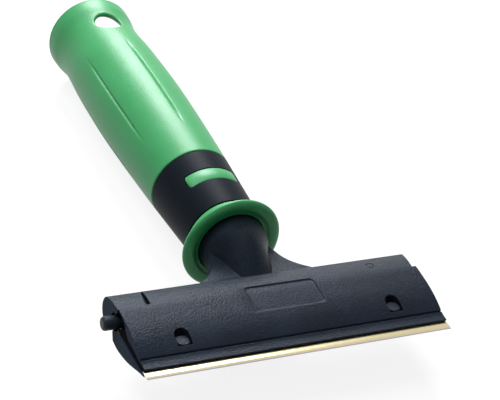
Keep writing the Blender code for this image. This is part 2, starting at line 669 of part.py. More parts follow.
def make_release_bar(finish):
    """The push bar: a domed nub at the left, two notches beneath and a spring spigot at the right."""
    tip = -HALF_HEAD - NUB_PROJECTION
    rings = []
    for angle_deg in NUB_DOME_ANGLES_DEG:
        a = math.radians(angle_deg)
        rings.append(bar_ring(tip + NUB_DOME * (1 - math.sin(a)), BAR_RADIUS - NUB_DOME * (1 - math.cos(a))))
    rings.insert(0, bar_ring(tip, (BAR_RADIUS - NUB_DOME) / 2))
    rings.append(bar_ring(tip + NUB_DOME, BAR_RADIUS))
    rings.append(bar_ring(BAR_REACH, BAR_RADIUS))
    rings.append(bar_ring(BAR_REACH, SPIGOT_RADIUS))
    rings.append(bar_ring(BAR_REACH + SPIGOT_LENGTH, SPIGOT_RADIUS))
    bar = add_object("release_bar", skin(rings, False), BAR, finish)
    notches = bmesh.new()
    for side in (-1, 1):
        outline = wedge_outline(side * KNUCKLE_CENTRE, FIT_GAP)
        bar_along_y(outline, BAR_SETBACK - BAR_RADIUS - CUT_OVERRUN, BAR_SETBACK + BAR_RADIUS + CUT_OVERRUN,
                    notches)
    combine(bar, add_tool("notch_tool", notches), 'DIFFERENCE')
    return bar


def make_return_spring(finish):
    """The coil that pushes the bar back out, drawn at its length at rest."""
    first = BAR_REACH + FIT_GAP + SPRING_WIRE_RADIUS
    run = SPRING_LENGTH - 2 * SPRING_WIRE_RADIUS
    count = SPRING_TURNS * SPRING_POINTS_PER_TURN
    curve = bpy.data.curves.new("return_spring", 'CURVE')
    curve.dimensions = '3D'
    curve.bevel_depth = SPRING_WIRE_RADIUS
    curve.bevel_resolution = 1
    curve.use_fill_caps = True
    line = curve.splines.new('POLY')
    line.points.add(count)
    for index in range(count + 1):
        turn = 2 * math.pi * index / SPRING_POINTS_PER_TURN
        place = Vector((first + run * index / count, SPRING_RADIUS * math.cos(turn), SPRING_RADIUS * math.sin(turn)))
        line.points[index].co = (*place, 1.0)
    spring = bpy.data.objects.new("return_spring", curve)
    spring.location = world(BAR)
    bpy.context.scene.collection.objects.link(spring)
    curve.materials.append(finish)
    return spring


def make_bar_bore():
    """The round channel that both jaws leave for the release bar."""
    return add_tool("bar_bore_tool", skin([bar_ring(-HALF_HEAD - CUT_OVERRUN, BAR_BORE_RADIUS),
                                           bar_ring(BAR_BORE_END, BAR_BORE_RADIUS)], False))


def make_nub_recess():
    """The wider recess round the nub at the head's left end."""
    return add_tool("nub_recess_tool", skin([bar_ring(-HALF_HEAD - CUT_OVERRUN, NUB_RECESS_RADIUS),
                                             bar_ring(-HALF_HEAD + NUB_RECESS_DEPTH, NUB_RECESS_RADIUS)], False))


# Thumb collar

def make_thumb_collar(finish):
    """The soft ring in front of the sleeve, with a rounded rim and a hollowed front face."""
    inner = SHANK_RADIUS + FIT_GAP
    rim = COLLAR_RADIUS - COLLAR_RIM_RADIUS
    band = rim - inner
    nose_share, hollow_share = COLLAR_FACE_SHARES
    hollow_radius = inner + band * hollow_share
    outline = [(-COLLAR_NOSE, inner), (-COLLAR_NOSE, inner + band * nose_share), (-COLLAR_HOLLOW, hollow_radius)]
    for t_deg in np.linspace(*COLLAR_RIM_ANGLES_DEG, 11):
        t = math.radians(t_deg)
        outline.append((COLLAR_RIM_BACK - COLLAR_RIM_RADIUS * math.cos(t), rim + COLLAR_RIM_RADIUS * math.sin(t)))
    skirt_top = SLEEVE_FRONT_RADIUS
    outline += [(COLLAR_SKIRT / 2, (hollow_radius + skirt_top) / 2), (COLLAR_SKIRT, skirt_top), (COLLAR_SKIRT, inner)]
    angles = even_angles(COLLAR_SIDES)
    rings = [handle_ring(COLLAR_SETBACK + s, r, angles) for s, r in outline]
    return add_object("thumb_collar", skin(rings, True), (0, COLLAR_SETBACK, 0), finish)


# Handle

def grip_radius(station):
    """Outer radius of the grip at a distance from the collar."""
    return GRIP_RADIUS * smooth_curve(GRIP_OUTLINE_SHARES, (station - GRIP_START) / GRIP_LENGTH)


def core_radius(station):
    """Outer radius of the handle's core where the grip covers it."""
    return grip_radius(station) - GRIP_WALL - FIT_GAP


def sleeve_radius(station):
    """Outer radius of the bare dark sleeve."""
    t = (station - SLEEVE_START) / (SLEEVE_END - SLEEVE_START)
    return SLEEVE_FRONT_RADIUS + (SLEEVE_REAR_RADIUS - SLEEVE_FRONT_RADIUS) * t


def covered_stations(steps):
    """Stations along the stretch of the grip that lies on the core."""
    return [GRIP_START + (CORE_END - GRIP_START) * step / steps for step in range(steps + 1)]


def socket_radius(station):
    """Radius of the tapered pole socket at a distance from the collar."""
    t = (station - SOCKET_FLOOR) / (GRIP_END - SOCKET_FLOOR)
    return SOCKET_FLOOR_RADIUS + (SOCKET_MOUTH_RADIUS - SOCKET_FLOOR_RADIUS) * t


def make_handle_core(finish, window_recess):
    """The stiff core: sleeve, seat for the grip, pole socket behind and plug bore in front."""
    angles = even_angles(CORE_SIDES)
    spigot = SHANK_RADIUS
    bore = PLUG_RADIUS + FIT_GAP
    flat = PLUG_FLAT + FIT_GAP
    web_front = PLUG_LENGTH + FIT_GAP
    outer = [(-FIT_GAP, spigot), (SLEEVE_START, spigot), (SLEEVE_START, SLEEVE_FRONT_RADIUS),
             (SLEEVE_END, SLEEVE_REAR_RADIUS), (SLEEVE_END, core_radius(GRIP_START))]
    outer += [(station, core_radius(station)) for station in covered_stations(COVERED_STEPS)[1:]]
    rings = [handle_ring(COLLAR_SETBACK + s, r, angles) for s, r in outer]
    inner = [(CORE_END, socket_radius(CORE_END)), (SOCKET_FLOOR, SOCKET_FLOOR_RADIUS),
             (SOCKET_FLOOR, SCREW_HOLE_RADIUS), (web_front, SCREW_HOLE_RADIUS)]
    rings += [handle_ring(COLLAR_SETBACK + s, r, angles) for s, r in inner]
    rings += [handle_ring(COLLAR_SETBACK + s, bore, angles, flat) for s in (web_front, -FIT_GAP)]
    core = add_object("handle_core", skin(rings, True), (0, COLLAR_SETBACK, 0), finish)
    combine(core, window_recess, 'DIFFERENCE')
    return core


def grip_angles():
    """Angles round the grip: three for each groove and an even spread between grooves."""
    sector = 2 * math.pi / GROOVE_COUNT
    half = math.radians(GROOVE_HALF_ANGLE_DEG)
    angles = []
    for groove in range(GROOVE_COUNT):
        middle = math.radians(GROOVE_FIRST_ANGLE_DEG) + sector * groove
        angles += [middle - half, middle]
        span = sector - 2 * half
        angles += [middle + half + span * step / BETWEEN_GROOVES for step in range(BETWEEN_GROOVES)]
    return angles


def groove_depth(station, angle):
    """Depth of the grooves at a station and an angle."""
    start = ease((station - GROOVE_START) / GROOVE_FADE)
    end = ease((GROOVE_END - station) / GROOVE_FADE)
    sector = 2 * math.pi / GROOVE_COUNT
    offset = (angle - math.radians(GROOVE_FIRST_ANGLE_DEG) + sector / 2) % sector - sector / 2
    inside = max(0.0, 1 - abs(offset) / math.radians(GROOVE_HALF_ANGLE_DEG))
    return GROOVE_DEPTH * start * end * inside


def make_grip_cover(finish, hanging_hole):
    """The soft grip with its grooves, rounded rear rim and the socket's rear end."""
    angles = grip_angles()
    bare = GRIP_LENGTH - GRIP_FRONT_ROUND - GRIP_RIM_ROUND
    stations = [GRIP_START + GRIP_FRONT_ROUND + bare * step / GRIP_STEPS for step in range(GRIP_STEPS + 1)]
    rings = [handle_ring(COLLAR_SETBACK + GRIP_START, grip_radius(GRIP_START) - GRIP_FRONT_ROUND, angles)]
    for station in stations:
        ring = []
        for a in angles:
            r = grip_radius(station) - groove_depth(station, a)
            ring.append(Vector((r * math.sin(a), COLLAR_SETBACK + station, r * math.cos(a))))
        rings.append(ring)
    for t_deg in GRIP_RIM_ANGLES_DEG:
        t = math.radians(t_deg)
        rings.append(handle_ring(COLLAR_SETBACK + GRIP_END - GRIP_RIM_ROUND * (1 - math.sin(t)),
                                 grip_radius(GRIP_END) - GRIP_RIM_ROUND * (1 - math.cos(t)), angles))
    mouth = SOCKET_MOUTH_RADIUS
    shoulder = CORE_END + FIT_GAP
    lining = [(GRIP_END, mouth + SOCKET_MOUTH_CHAMFER), (GRIP_END - SOCKET_MOUTH_CHAMFER, mouth),
              (shoulder, socket_radius(shoulder)), (shoulder, core_radius(CORE_END) + FIT_GAP)]
    lining += [(station, core_radius(station) + FIT_GAP) for station in covered_stations(COVERED_STEPS)[-2::-1]]
    rings += [handle_ring(COLLAR_SETBACK + s, r, angles) for s, r in lining]
    grip = add_object("grip_cover", skin(rings, True), (0, COLLAR_SETBACK, 0), finish)
    combine(grip, hanging_hole, 'DIFFERENCE')
    return grip


def make_hanging_hole():
    """A round cutter straight down through the handle near its rear end."""
    outline = circle((0, COLLAR_SETBACK + HOLE_STATION), HOLE_RADIUS, SMALL_SIDES)
    reach = GRIP_RADIUS + CUT_OVERRUN
    return add_tool("hanging_hole_tool", bar_along_z(outline, -reach, reach))


def window_rings(spread, depth, proud):
    """Rings of the window pad, wrapped on the sleeve, with rounded ends."""
    half_length = WINDOW_HALF_LENGTH + spread
    half_breadth = WINDOW_HALF_BREADTH + spread
    middle = sleeve_radius(WINDOW_STATION)
    straight = half_length - half_breadth
    rounding = [(straight + half_breadth * math.sin(t), half_breadth * math.cos(t))
                for t in np.linspace(0, math.radians(WINDOW_ROUND_DEG), 6)]
    right = [(straight * share, half_breadth) for share in WINDOW_STATION_SHARES] + rounding
    stations = [(-x, half) for x, half in reversed(right)] + [(0, half_breadth)] + right
    rings = []
    for x, half in stations:
        a = x / middle
        corners = [(-half, proud), (half, proud), (half, -depth), (-half, -depth)]
        ring = []
        for along, lift in corners:
            r = sleeve_radius(WINDOW_STATION + along) + lift
            ring.append(Vector((r * math.sin(a), COLLAR_SETBACK + WINDOW_STATION + along, r * math.cos(a))))
        rings.append(ring)
    return rings


def make_window_pad(finish):
    """The plain pad in the sleeve's window."""
    return add_object("window_pad", skin(window_rings(0, WINDOW_THICKNESS, WINDOW_PROUD), False),
                      (0, COLLAR_SETBACK + WINDOW_STATION, 0), finish)


def make_window_recess():
    """The recess in the sleeve for the window pad."""
    return add_tool("window_recess_tool",
                    skin(window_rings(FIT_GAP, WINDOW_THICKNESS + FIT_GAP, CUT_OVERRUN), False))


# Screw and washer in the socket's floor

def make_retaining_screw(finish):
    """The screw that holds the head's plug, with a hexagon socket in its domed head."""
    angles = even_angles(SMALL_SIDES)
    seat = SOCKET_FLOOR + FIT_GAP + WASHER_THICKNESS + FIT_GAP
    tip = PLUG_LENGTH - SCREW_GRIP_LENGTH
    top = seat + SCREW_HEAD_HEIGHT
    fallen, drawn_in = (SCREW_HEAD_ROUND * share for share in SCREW_HEAD_ROUND_SHARES)
    outline = [(tip, SCREW_RADIUS - SCREW_POINT), (tip + SCREW_POINT, SCREW_RADIUS), (seat, SCREW_RADIUS),
               (seat, SCREW_HEAD_RADIUS), (top - SCREW_HEAD_ROUND, SCREW_HEAD_RADIUS),
               (top - fallen, SCREW_HEAD_RADIUS - drawn_in),
               (top, SCREW_HEAD_RADIUS - SCREW_HEAD_ROUND)]
    rings = [handle_ring(COLLAR_SETBACK + s, r, angles) for s, r in outline]
    screw = add_object("retaining_screw", skin(rings, False), (0, COLLAR_SETBACK + seat, 0), finish)
    hexagon = circle((0, 0), SCREW_SOCKET_RADIUS, 6)
    drive = bar_along_y(hexagon, COLLAR_SETBACK + top - SCREW_SOCKET_DEPTH, COLLAR_SETBACK + top + CUT_OVERRUN)
    combine(screw, add_tool("drive_tool", drive), 'DIFFERENCE')
    return screw


def make_washer(finish):
    """The washer under the screw's head."""
    angles = even_angles(SMALL_SIDES)
    low = SOCKET_FLOOR + FIT_GAP
    outline = [(low, SCREW_HOLE_RADIUS), (low, WASHER_RADIUS), (low + WASHER_THICKNESS, WASHER_RADIUS),
               (low + WASHER_THICKNESS, SCREW_HOLE_RADIUS)]
    rings = [handle_ring(COLLAR_SETBACK + s, r, angles) for s, r in outline]
    return add_object("screw_washer", skin(rings, True), (0, COLLAR_SETBACK + low, 0), finish)


def make_screw_bore():
    """The bore for the screw in the end of the head's plug."""
    angles = even_angles(SMALL_SIDES)
    radius = SCREW_RADIUS + SCREW_CLEARANCE
    rings = [handle_ring(COLLAR_SETBACK + s, radius, angles)
             for s in (PLUG_LENGTH - SCREW_GRIP_LENGTH - FIT_GAP, PLUG_LENGTH + CUT_OVERRUN)]
    return add_tool("screw_bore_tool", skin(rings, False))


def hang_on(name, place, children):
    """Parents the moving pieces to an empty on their joint's axis, without moving them."""
    pivot = bpy.data.objects.new(name, None)
    pivot.location = world(place)
    bpy.context.scene.collection.objects.link(pivot)
    for child in children:
        child.location = child.location - pivot.location
        child.parent = pivot


def build():
    """Makes every piece of the scraper."""
    clear_scene()
    moulding = material("black_moulding", (0.045, 0.052, 0.060), 0.55)
    core_plastic = material("black_core", (0.022, 0.025, 0.030), 0.42)
    soft_green = material("green_soft", (0.075, 0.395, 0.150), 0.48)
    blade_steel = material("blade_steel", (0.72, 0.68, 0.56), 0.25, 1.0)
    bright_steel = material("bright_steel", (0.62, 0.63, 0.65), 0.30, 1.0)

    bar_bore = make_bar_bore()
    nub_recess = make_nub_recess()
    pin_bores = make_pin_bores()
    hanging_hole = make_hanging_hole()

    make_upper_jaw(moulding, bar_bore, nub_recess, pin_bores, make_screw_bore())
    flap = make_lower_jaw(moulding, bar_bore, nub_recess, pin_bores)
    blade = make_blade(blade_steel)
    make_hinge_pin("hinge_pin_left", -1, bright_steel)
    make_hinge_pin("hinge_pin_right", 1, bright_steel)
    make_release_bar(moulding)
    make_return_spring(bright_steel)
    make_thumb_collar(soft_green)
    make_handle_core(core_plastic, make_window_recess())
    make_grip_cover(soft_green, hanging_hole)
    make_window_pad(soft_green)
    make_retaining_screw(bright_steel)
    make_washer(bright_steel)
    hang_on("jaw_hinge_axis", HINGE, [flap, blade])


build()
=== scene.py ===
# %% [markdown]
# This lesson dresses a hand glass scraper: two black jaws that clamp a wide blade, a short neck,
# a green thumb ring, a dark sleeve and a soft green grip. The mechanical model is loaded first and
# stays the frame for everything, so each surface below is worked out at the place where the maker
# puts the real piece.

# %% Load the frame
import math

import bmesh
import bpy
import numpy as np
from mathutils import Matrix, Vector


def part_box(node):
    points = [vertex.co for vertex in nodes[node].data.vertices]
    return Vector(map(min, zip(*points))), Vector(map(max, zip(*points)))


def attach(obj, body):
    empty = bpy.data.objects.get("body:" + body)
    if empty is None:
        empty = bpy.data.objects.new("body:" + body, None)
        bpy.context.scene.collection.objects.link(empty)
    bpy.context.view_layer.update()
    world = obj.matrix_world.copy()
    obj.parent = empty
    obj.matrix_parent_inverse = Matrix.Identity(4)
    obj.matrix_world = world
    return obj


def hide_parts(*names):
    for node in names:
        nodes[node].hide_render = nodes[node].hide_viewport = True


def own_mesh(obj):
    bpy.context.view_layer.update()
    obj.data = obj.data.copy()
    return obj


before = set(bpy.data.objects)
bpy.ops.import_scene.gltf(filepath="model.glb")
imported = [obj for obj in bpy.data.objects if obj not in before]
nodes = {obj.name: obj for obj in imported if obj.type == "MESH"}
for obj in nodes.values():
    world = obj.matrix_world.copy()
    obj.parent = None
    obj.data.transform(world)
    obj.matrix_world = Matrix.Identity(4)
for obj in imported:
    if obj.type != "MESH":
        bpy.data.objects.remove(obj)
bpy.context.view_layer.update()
print("nodes:", sorted(nodes))

# %% [markdown]
# The pieces are drawn from the middle of the blade's front edge: x along the blade, y back along
# the handle, z up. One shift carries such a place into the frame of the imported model.

# %% The maker's zero point
ZERO = np.array([0.002, -0.090625, 0.0165])
MM = 0.001
print("blade edge at y =", ZERO[1], "and one millimetre is", MM, "m")

# %% Placing things
scene = bpy.context.scene


def linked(name, data):
    """A new object with its data, linked into the scene."""
    made = bpy.data.objects.new(name, data)
    scene.collection.objects.link(made)
    return made


def unit(direction):
    """The same direction with length one."""
    return np.asarray(direction, float) / np.linalg.norm(direction)


def stood(right, up, back, place):
    """The matrix of an object at a place, from the directions of its own x, y and z."""
    axes = np.eye(4)
    axes[:3] = np.column_stack([right, up, back, place])
    return Matrix(axes.tolist())


print("scene:", scene.name)

# %% [markdown]
# The camera stands where the photographer stood. Its place and the three directions of its picture
# were worked out from the blade's corners, the ring's ellipse and the grip's outline.

# %% Camera
CAMERA_PLACE = (-0.21614, -0.39013, 0.31475)
CAMERA_RIGHT = np.array([0.8913, -0.4165, 0.1790])
CAMERA_AHEAD = np.array([0.4403, 0.7013, -0.5606])
CAMERA_LENS, SENSOR_WIDTH = 117.84, 36.0


def aim_camera(place, right, ahead):
    """A camera at a place whose picture's right and depth follow two directions, made square."""
    ahead = unit(ahead)
    right = unit(right - ahead * (right @ ahead))
    data = bpy.data.cameras.new("photo_camera")
    data.lens = CAMERA_LENS
    data.sensor_width = SENSOR_WIDTH
    data.sensor_fit = 'HORIZONTAL'
    data.clip_start = 0.01
    camera = linked("photo_camera", data)
    camera.matrix_world = stood(right, np.cross(right, ahead), -ahead, place)
    scene.camera = camera


aim_camera(CAMERA_PLACE, CAMERA_RIGHT, CAMERA_AHEAD)
print("camera distance from the origin: %.3f m" % np.linalg.norm(CAMERA_PLACE))

# %% [markdown]
# Shaders are nets of nodes. One small function adds a node, and the others name the few nets that
# the world, the floor and the finishes share.

# %% Shader helpers
WHITE = (1, 1, 1, 1)


def put(tree, kind, inputs=None, **settings):
    """Adds a shader node with its settings; an input is a value or another node's output."""
    made = tree.nodes.new(kind)
    for key, value in settings.items():
        setattr(made, key, value)
    for key, value in (inputs or {}).items():
        if isinstance(value, bpy.types.NodeSocket):
            tree.links.new(value, made.inputs[key])
        else:
            made.inputs[key].default_value = value
    return made


def maths(tree, operation, *parts):
    """A calculation on shader values, named by its operation."""
    return put(tree, "ShaderNodeMath", dict(enumerate(parts)), operation=operation).outputs[0]


def blend(tree, amount, first, second):
    """One colour that turns into a second one as an amount goes from 0 to 1."""
    return put(tree, "ShaderNodeMix", {"Factor": amount, "A": first, "B": second},
               data_type='RGBA').outputs["Result"]


def seen_rays(tree):
    """1 for rays that the camera sees directly, in gloss or through a clear body, else 0."""
    path = put(tree, "ShaderNodeLightPath").outputs
    direct_or_gloss = maths(tree, 'MAXIMUM', path["Is Camera Ray"], path["Is Glossy Ray"])
    return maths(tree, 'MAXIMUM', direct_or_gloss, path["Is Transmission Ray"])


print("shader helpers ready")

# %% [markdown]
# A small product is photographed in a white cove with a large softbox behind and above it and a
# weaker one overhead. They give the top faces a broad sheen and leave the faces towards the camera
# dark, so the grain of the black parts and the soft roundness of the green ones show.

# %% World light
WORLD_LEVEL = 0.20
scene.view_settings.view_transform = 'Standard'
world = bpy.data.worlds.new("studio")
scene.world = world
world.use_nodes = True


def white_world(tree, even):
    """The world lights at one level and shows white to the camera and in gloss."""
    tree.nodes.clear()
    lit = put(tree, "ShaderNodeBackground", {"Color": WHITE, "Strength": even})
    white = put(tree, "ShaderNodeBackground", {"Color": WHITE, "Strength": 1.0})
    mix = put(tree, "ShaderNodeMixShader",
              {0: seen_rays(tree), 1: lit.outputs[0], 2: white.outputs[0]})
    put(tree, "ShaderNodeOutputWorld", {"Surface": mix.outputs[0]})


white_world(world.node_tree, WORLD_LEVEL)
print("world level:", WORLD_LEVEL)

# %% Lamps


def softbox(name, place, size, power):
    """A square area lamp at a place that faces the origin."""
    data = bpy.data.lights.new(name, 'AREA')
    data.size = size
    data.energy = power
    away = unit(place)
    side = unit(np.cross((0.0, 1.0, 0.0), away))
    linked(name, data).matrix_world = stood(side, np.cross(away, side), away, place)


softbox("back_softbox", (0.19, 0.68, 0.56), size=0.36, power=9.2)
softbox("overhead_softbox", (-0.36, 0.20, 0.85), size=0.50, power=4.2)
print("lamps:", len(bpy.data.lights))

# %% [markdown]
# The floor is a plain pale sheet under the tool, wide enough to fill every view. It adds some of
# its own white to what the camera sees, so that the sheet is white while the soft shadow stays on
# it.

# %% Floor
FLOOR_HALF, FLOOR_DROP, FLOOR_GREY, FLOOR_GLOW = 3.0, 0.0002, 0.20, 0.86


def floor_sheet():
    """A flat square sheet just under the part's underside."""
    mesh = bpy.data.meshes.new("floor")
    corners = [(x * FLOOR_HALF, y * FLOOR_HALF, -FLOOR_DROP)
               for x, y in ((-1, -1), (1, -1), (1, 1), (-1, 1))]
    mesh.from_pydata(corners, [], [(0, 1, 2, 3)])
    return linked("floor", mesh)


def pale_sheet(name):
    """A matt sheet that keeps a soft shadow and is lifted to white for the camera."""
    made = bpy.data.materials.new(name)
    made.use_nodes = True
    tree = made.node_tree
    tree.nodes.clear()
    matt = put(tree, "ShaderNodeBsdfDiffuse", {"Color": (FLOOR_GREY, FLOOR_GREY, FLOOR_GREY, 1)})
    level = maths(tree, 'MULTIPLY', seen_rays(tree), FLOOR_GLOW)
    glow = put(tree, "ShaderNodeEmission", {"Color": WHITE, "Strength": level})
    both = put(tree, "ShaderNodeAddShader", {0: matt.outputs[0], 1: glow.outputs[0]})
    put(tree, "ShaderNodeOutputMaterial", {"Surface": both.outputs[0]})
    return made


floor = floor_sheet()
floor.data.materials.append(pale_sheet("pale_sheet"))
print("floor laid")

# %% [markdown]
# Every new piece is a surface worked out as whole arrays: a grid of points, then faces between the
# neighbours. It could be modelled by hand instead, but a formula keeps each size and each curve in
# one line that can be changed. Lengths are in millimetres from the maker's zero, and one step
# turns them into metres. The ready mesh has its seams merged and its faces turned outwards.

# %% Grids into meshes


def grid_faces(rows, columns, wrap_rows=False):
    """Four-cornered faces between the neighbours of a grid, whose columns close into rings."""
    i = np.arange(rows if wrap_rows else rows - 1)[:, None]
    j = np.arange(columns)[None, :]
    below, right = (i + 1) % rows, (j + 1) % columns
    corners = [i * columns + j, i * columns + right, below * columns + right, below * columns + j]
    return np.stack(np.broadcast_arrays(*corners), axis=-1).reshape(-1, 4)


def mesh_of(name, points, faces):
    """A mesh from points in millimetres and a list of faces, merged and facing outwards."""
    mesh = bpy.data.meshes.new(name)
    mesh.from_pydata((points.reshape(-1, 3) * MM + ZERO).tolist(), [], faces)
    work = bmesh.new()
    work.from_mesh(mesh)
    bmesh.ops.remove_doubles(work, verts=work.verts, dist=1e-6)
    bmesh.ops.recalc_face_normals(work, faces=work.faces)
    work.to_mesh(mesh)
    work.free()
    return mesh


def solid_of(name, rings, looped=False):
    """A closed mesh from rings of points: joined end to end, or capped at both ends."""
    rings = np.asarray(rings, float)
    rows, columns = rings.shape[:2]
    faces = grid_faces(rows, columns, wrap_rows=looped).tolist()
    if not looped:
        faces += [list(range(columns)), list(range((rows - 1) * columns, rows * columns))]
    return mesh_of(name, rings, faces)


print("faces of a tube of 3 rings with 4 points each:", len(grid_faces(3, 4)))

# %% Turned shapes and soft curves


def full_turn(steps):
    """Even angles once round; the last is one step short of the first."""
    return np.linspace(0, 2 * np.pi, steps, endpoint=False)


def round_axis(y, r, a):
    """Points round the handle's axis: at radius r and angle a, x = r sin a and z = r cos a."""
    return np.stack(np.broadcast_arrays(r * np.sin(a), y, r * np.cos(a)), axis=-1)


def turned(outline, angles):
    """Rings round the handle's axis for an outline of (y, radius)."""
    y, r = np.asarray(outline, float).T[:, :, None]
    return round_axis(y, r, angles)


def arc(centre, radius, start, end, steps):
    """Points on a circle round a centre, between two angles in degrees."""
    a = np.radians(np.linspace(start, end, steps))
    return np.stack([centre[0] + radius * np.cos(a), centre[1] + radius * np.sin(a)], axis=-1)


def soft_line(table, places):
    """A smooth curve through a table of (place, value): cubic pieces whose slopes agree."""
    known, values = np.asarray(table, float).T
    slopes = np.gradient(values, known)
    i = np.clip(np.searchsorted(known, places) - 1, 0, len(known) - 2)
    span = known[i + 1] - known[i]
    t = (places - known[i]) / span
    rise = values[i] * (1 + 2 * t) * (1 - t) ** 2 + values[i + 1] * t * t * (3 - 2 * t)
    return rise + span * (slopes[i] * t * (1 - t) ** 2 + slopes[i + 1] * t * t * (t - 1))


def soft_step(t):
    """A step from 0 to 1 without corners."""
    t = np.clip(t, 0, 1)
    return t * t * (3 - 2 * t)


print("arc test:", arc((0, 0), 1, 0, 90, 2).round(3).tolist())

# %% [markdown]
# Pockets, bores and steps are cut out of a finished surface by exact Booleans, as a tool would cut
# them. The cutters are thrown away and only the cut mesh stays, so no modifier is left on a piece.

# %% Cutting and finishing


def carved(mesh, cuts=(), joins=()):
    """The mesh with some meshes joined to it and then others cut away."""
    body = linked("body", mesh)
    tools = []
    for operation, group in (('UNION', joins), ('DIFFERENCE', cuts)):
        for tool_mesh in group:
            tool = linked(tool_mesh.name, tool_mesh)
            step = body.modifiers.new(tool.name, 'BOOLEAN')
            step.operation, step.solver, step.object = operation, 'EXACT', tool
            tools.append(tool)
    bpy.context.view_layer.update()
    solved = body.evaluated_get(bpy.context.evaluated_depsgraph_get())
    ready = bpy.data.meshes.new_from_object(solved)
    for item in tools + [body]:
        bpy.data.objects.remove(item, do_unlink=True)
    return ready


def piece(name, mesh, body, slot, finish, *stands_for, crease):
    """A shown piece: smooth but for creases, riding on a body, with its finish."""
    mesh.name = name
    mesh.materials.clear()
    mesh.materials.append(finish)
    mesh.shade_smooth()
    mesh.set_sharp_from_angle(angle=math.radians(crease))
    made = linked(name, mesh)
    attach(made, body)
    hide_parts(*stands_for)
    size = [round(d / MM, 2) for d in made.dimensions]
    print(name, "faces:", len(mesh.polygons), "size mm:", size)
    return made


print("cutting and finishing ready")

# %% [markdown]
# All finishes are built from a Principled shader. Noise on the object's own coordinates varies the
# colour, the roughness and a small bump, so nothing is one flat colour. A Bevel node rounds the
# light at edges by a fraction of a millimetre, as a moulding's edges are rounded.

# %% Finish helpers


def finish_base(name, edge):
    """A material with its shader, the object's coordinates and a rounded-edge normal."""
    made = bpy.data.materials.new(name)
    made.use_nodes = True
    tree = made.node_tree
    shader = tree.nodes["Principled BSDF"]
    place = put(tree, "ShaderNodeTexCoord").outputs["Object"]
    rounded = put(tree, "ShaderNodeBevel", {"Radius": edge}, samples=4).outputs["Normal"]
    return made, tree, shader, place, rounded


def noise(tree, place, scale, detail, roughness=0.5):
    """Soft noise at a place."""
    return put(tree, "ShaderNodeTexNoise", {"Vector": place, "Scale": scale, "Detail": detail,
                                            "Roughness": roughness}).outputs["Fac"]


def between(tree, amount, low, high):
    """Maps a 0 to 1 value onto a range."""
    return put(tree, "ShaderNodeMapRange",
               {"Value": amount, "To Min": low, "To Max": high}).outputs["Result"]


def rising(tree, value, start, full):
    """0 to 1 as a value grows from start to full."""
    return put(tree, "ShaderNodeMapRange",
               {"Value": value, "From Min": start, "From Max": full}).outputs["Result"]


def off_middle(tree, vector, axis, middle, start, full):
    """0 to 1 as the distance of a vector's X or Y from a middle value grows from start to full."""
    along = put(tree, "ShaderNodeSeparateXYZ", {"Vector": vector}).outputs[axis]
    aside = maths(tree, 'ABSOLUTE', maths(tree, 'SUBTRACT', along, middle))
    return rising(tree, aside, start, full)


def bumped(tree, shader, height, distance, rounded):
    """A bump of a given height on the shader, over the rounded-edge normal."""
    bump = put(tree, "ShaderNodeBump", {"Strength": 1.0, "Distance": distance, "Height": height,
                                        "Normal": rounded})
    tree.links.new(bump.outputs["Normal"], shader.inputs["Normal"])


print("finish helpers ready")

# %% [markdown]
# A moulding takes the fine spark-eroded grain of its mould, and light catches it in specks. Two
# noises give that: a fine one for the specks and the bump, and a wide one that makes some patches
# a little paler and rougher. Painted spots would repeat, and noise doesn't. The head's end faces
# are smoother and duller, so shine and grain are turned down there by the way a face looks. A
# bluish sheen is painted into their colour in place of the gloss.

# %% Plastic finish
MOULDED_EDGE, CLOUD_SIZE = 0.00015, 22


def moulded(name, dark, light, grain, grain_height, gloss, shine, tint):
    """A moulded plastic: two colours in specks, fine grain, patchy gloss and tinted shine."""
    made, tree, shader, place, rounded = finish_base(name, MOULDED_EDGE)
    fine = noise(tree, place, grain, 3.0, 0.6)
    cloud = noise(tree, place, grain / CLOUD_SIZE, 2.0)
    speck = maths(tree, 'ADD', between(tree, fine, 0.0, 0.8), between(tree, cloud, -0.3, 0.5))
    tree.links.new(blend(tree, speck, (*dark, 1), (*light, 1)), shader.inputs["Base Color"])
    shader.inputs["Specular IOR Level"].default_value = shine
    shader.inputs["Specular Tint"].default_value = (*tint, 1)
    tree.links.new(between(tree, cloud, *gloss), shader.inputs["Roughness"])
    bumped(tree, shader, fine, grain_height, rounded)
    return made


def dull_ends_with_painted_sheen(made, from_middle, shine, end_shine, painted_end_sheen):
    """Less shine and grain on end faces, which look along the blade, and a bluish sheen painted
    on.
    """
    tree = made.node_tree
    shader = tree.nodes["Principled BSDF"]
    facing = put(tree, "ShaderNodeNewGeometry").outputs["True Normal"]
    place = put(tree, "ShaderNodeTexCoord").outputs["Object"]
    turned_out = off_middle(tree, facing, "X", 0.0, 0.30, 0.45)
    far_out = off_middle(tree, place, "X", ZERO[0], from_middle, from_middle + 0.2 * MM)
    at_end = maths(tree, 'MULTIPLY', turned_out, far_out)
    tree.links.new(between(tree, at_end, shine, end_shine), shader.inputs["Specular IOR Level"])
    # Painted sheen: end faces that look along the blade have their colour blended towards a set
    # bluish tone.
    speckled = shader.inputs["Base Color"].links[0].from_socket
    colour = blend(tree, between(tree, at_end, 0.0, 0.75), speckled, (*painted_end_sheen, 1))
    tree.links.new(colour, shader.inputs["Base Color"])
    bump = shader.inputs["Normal"].links[0].from_node
    tree.links.new(between(tree, at_end, 1.0, 0.2), bump.inputs["Strength"])


print("edges of mouldings are rounded by %.2f mm" % (MOULDED_EDGE / MM))
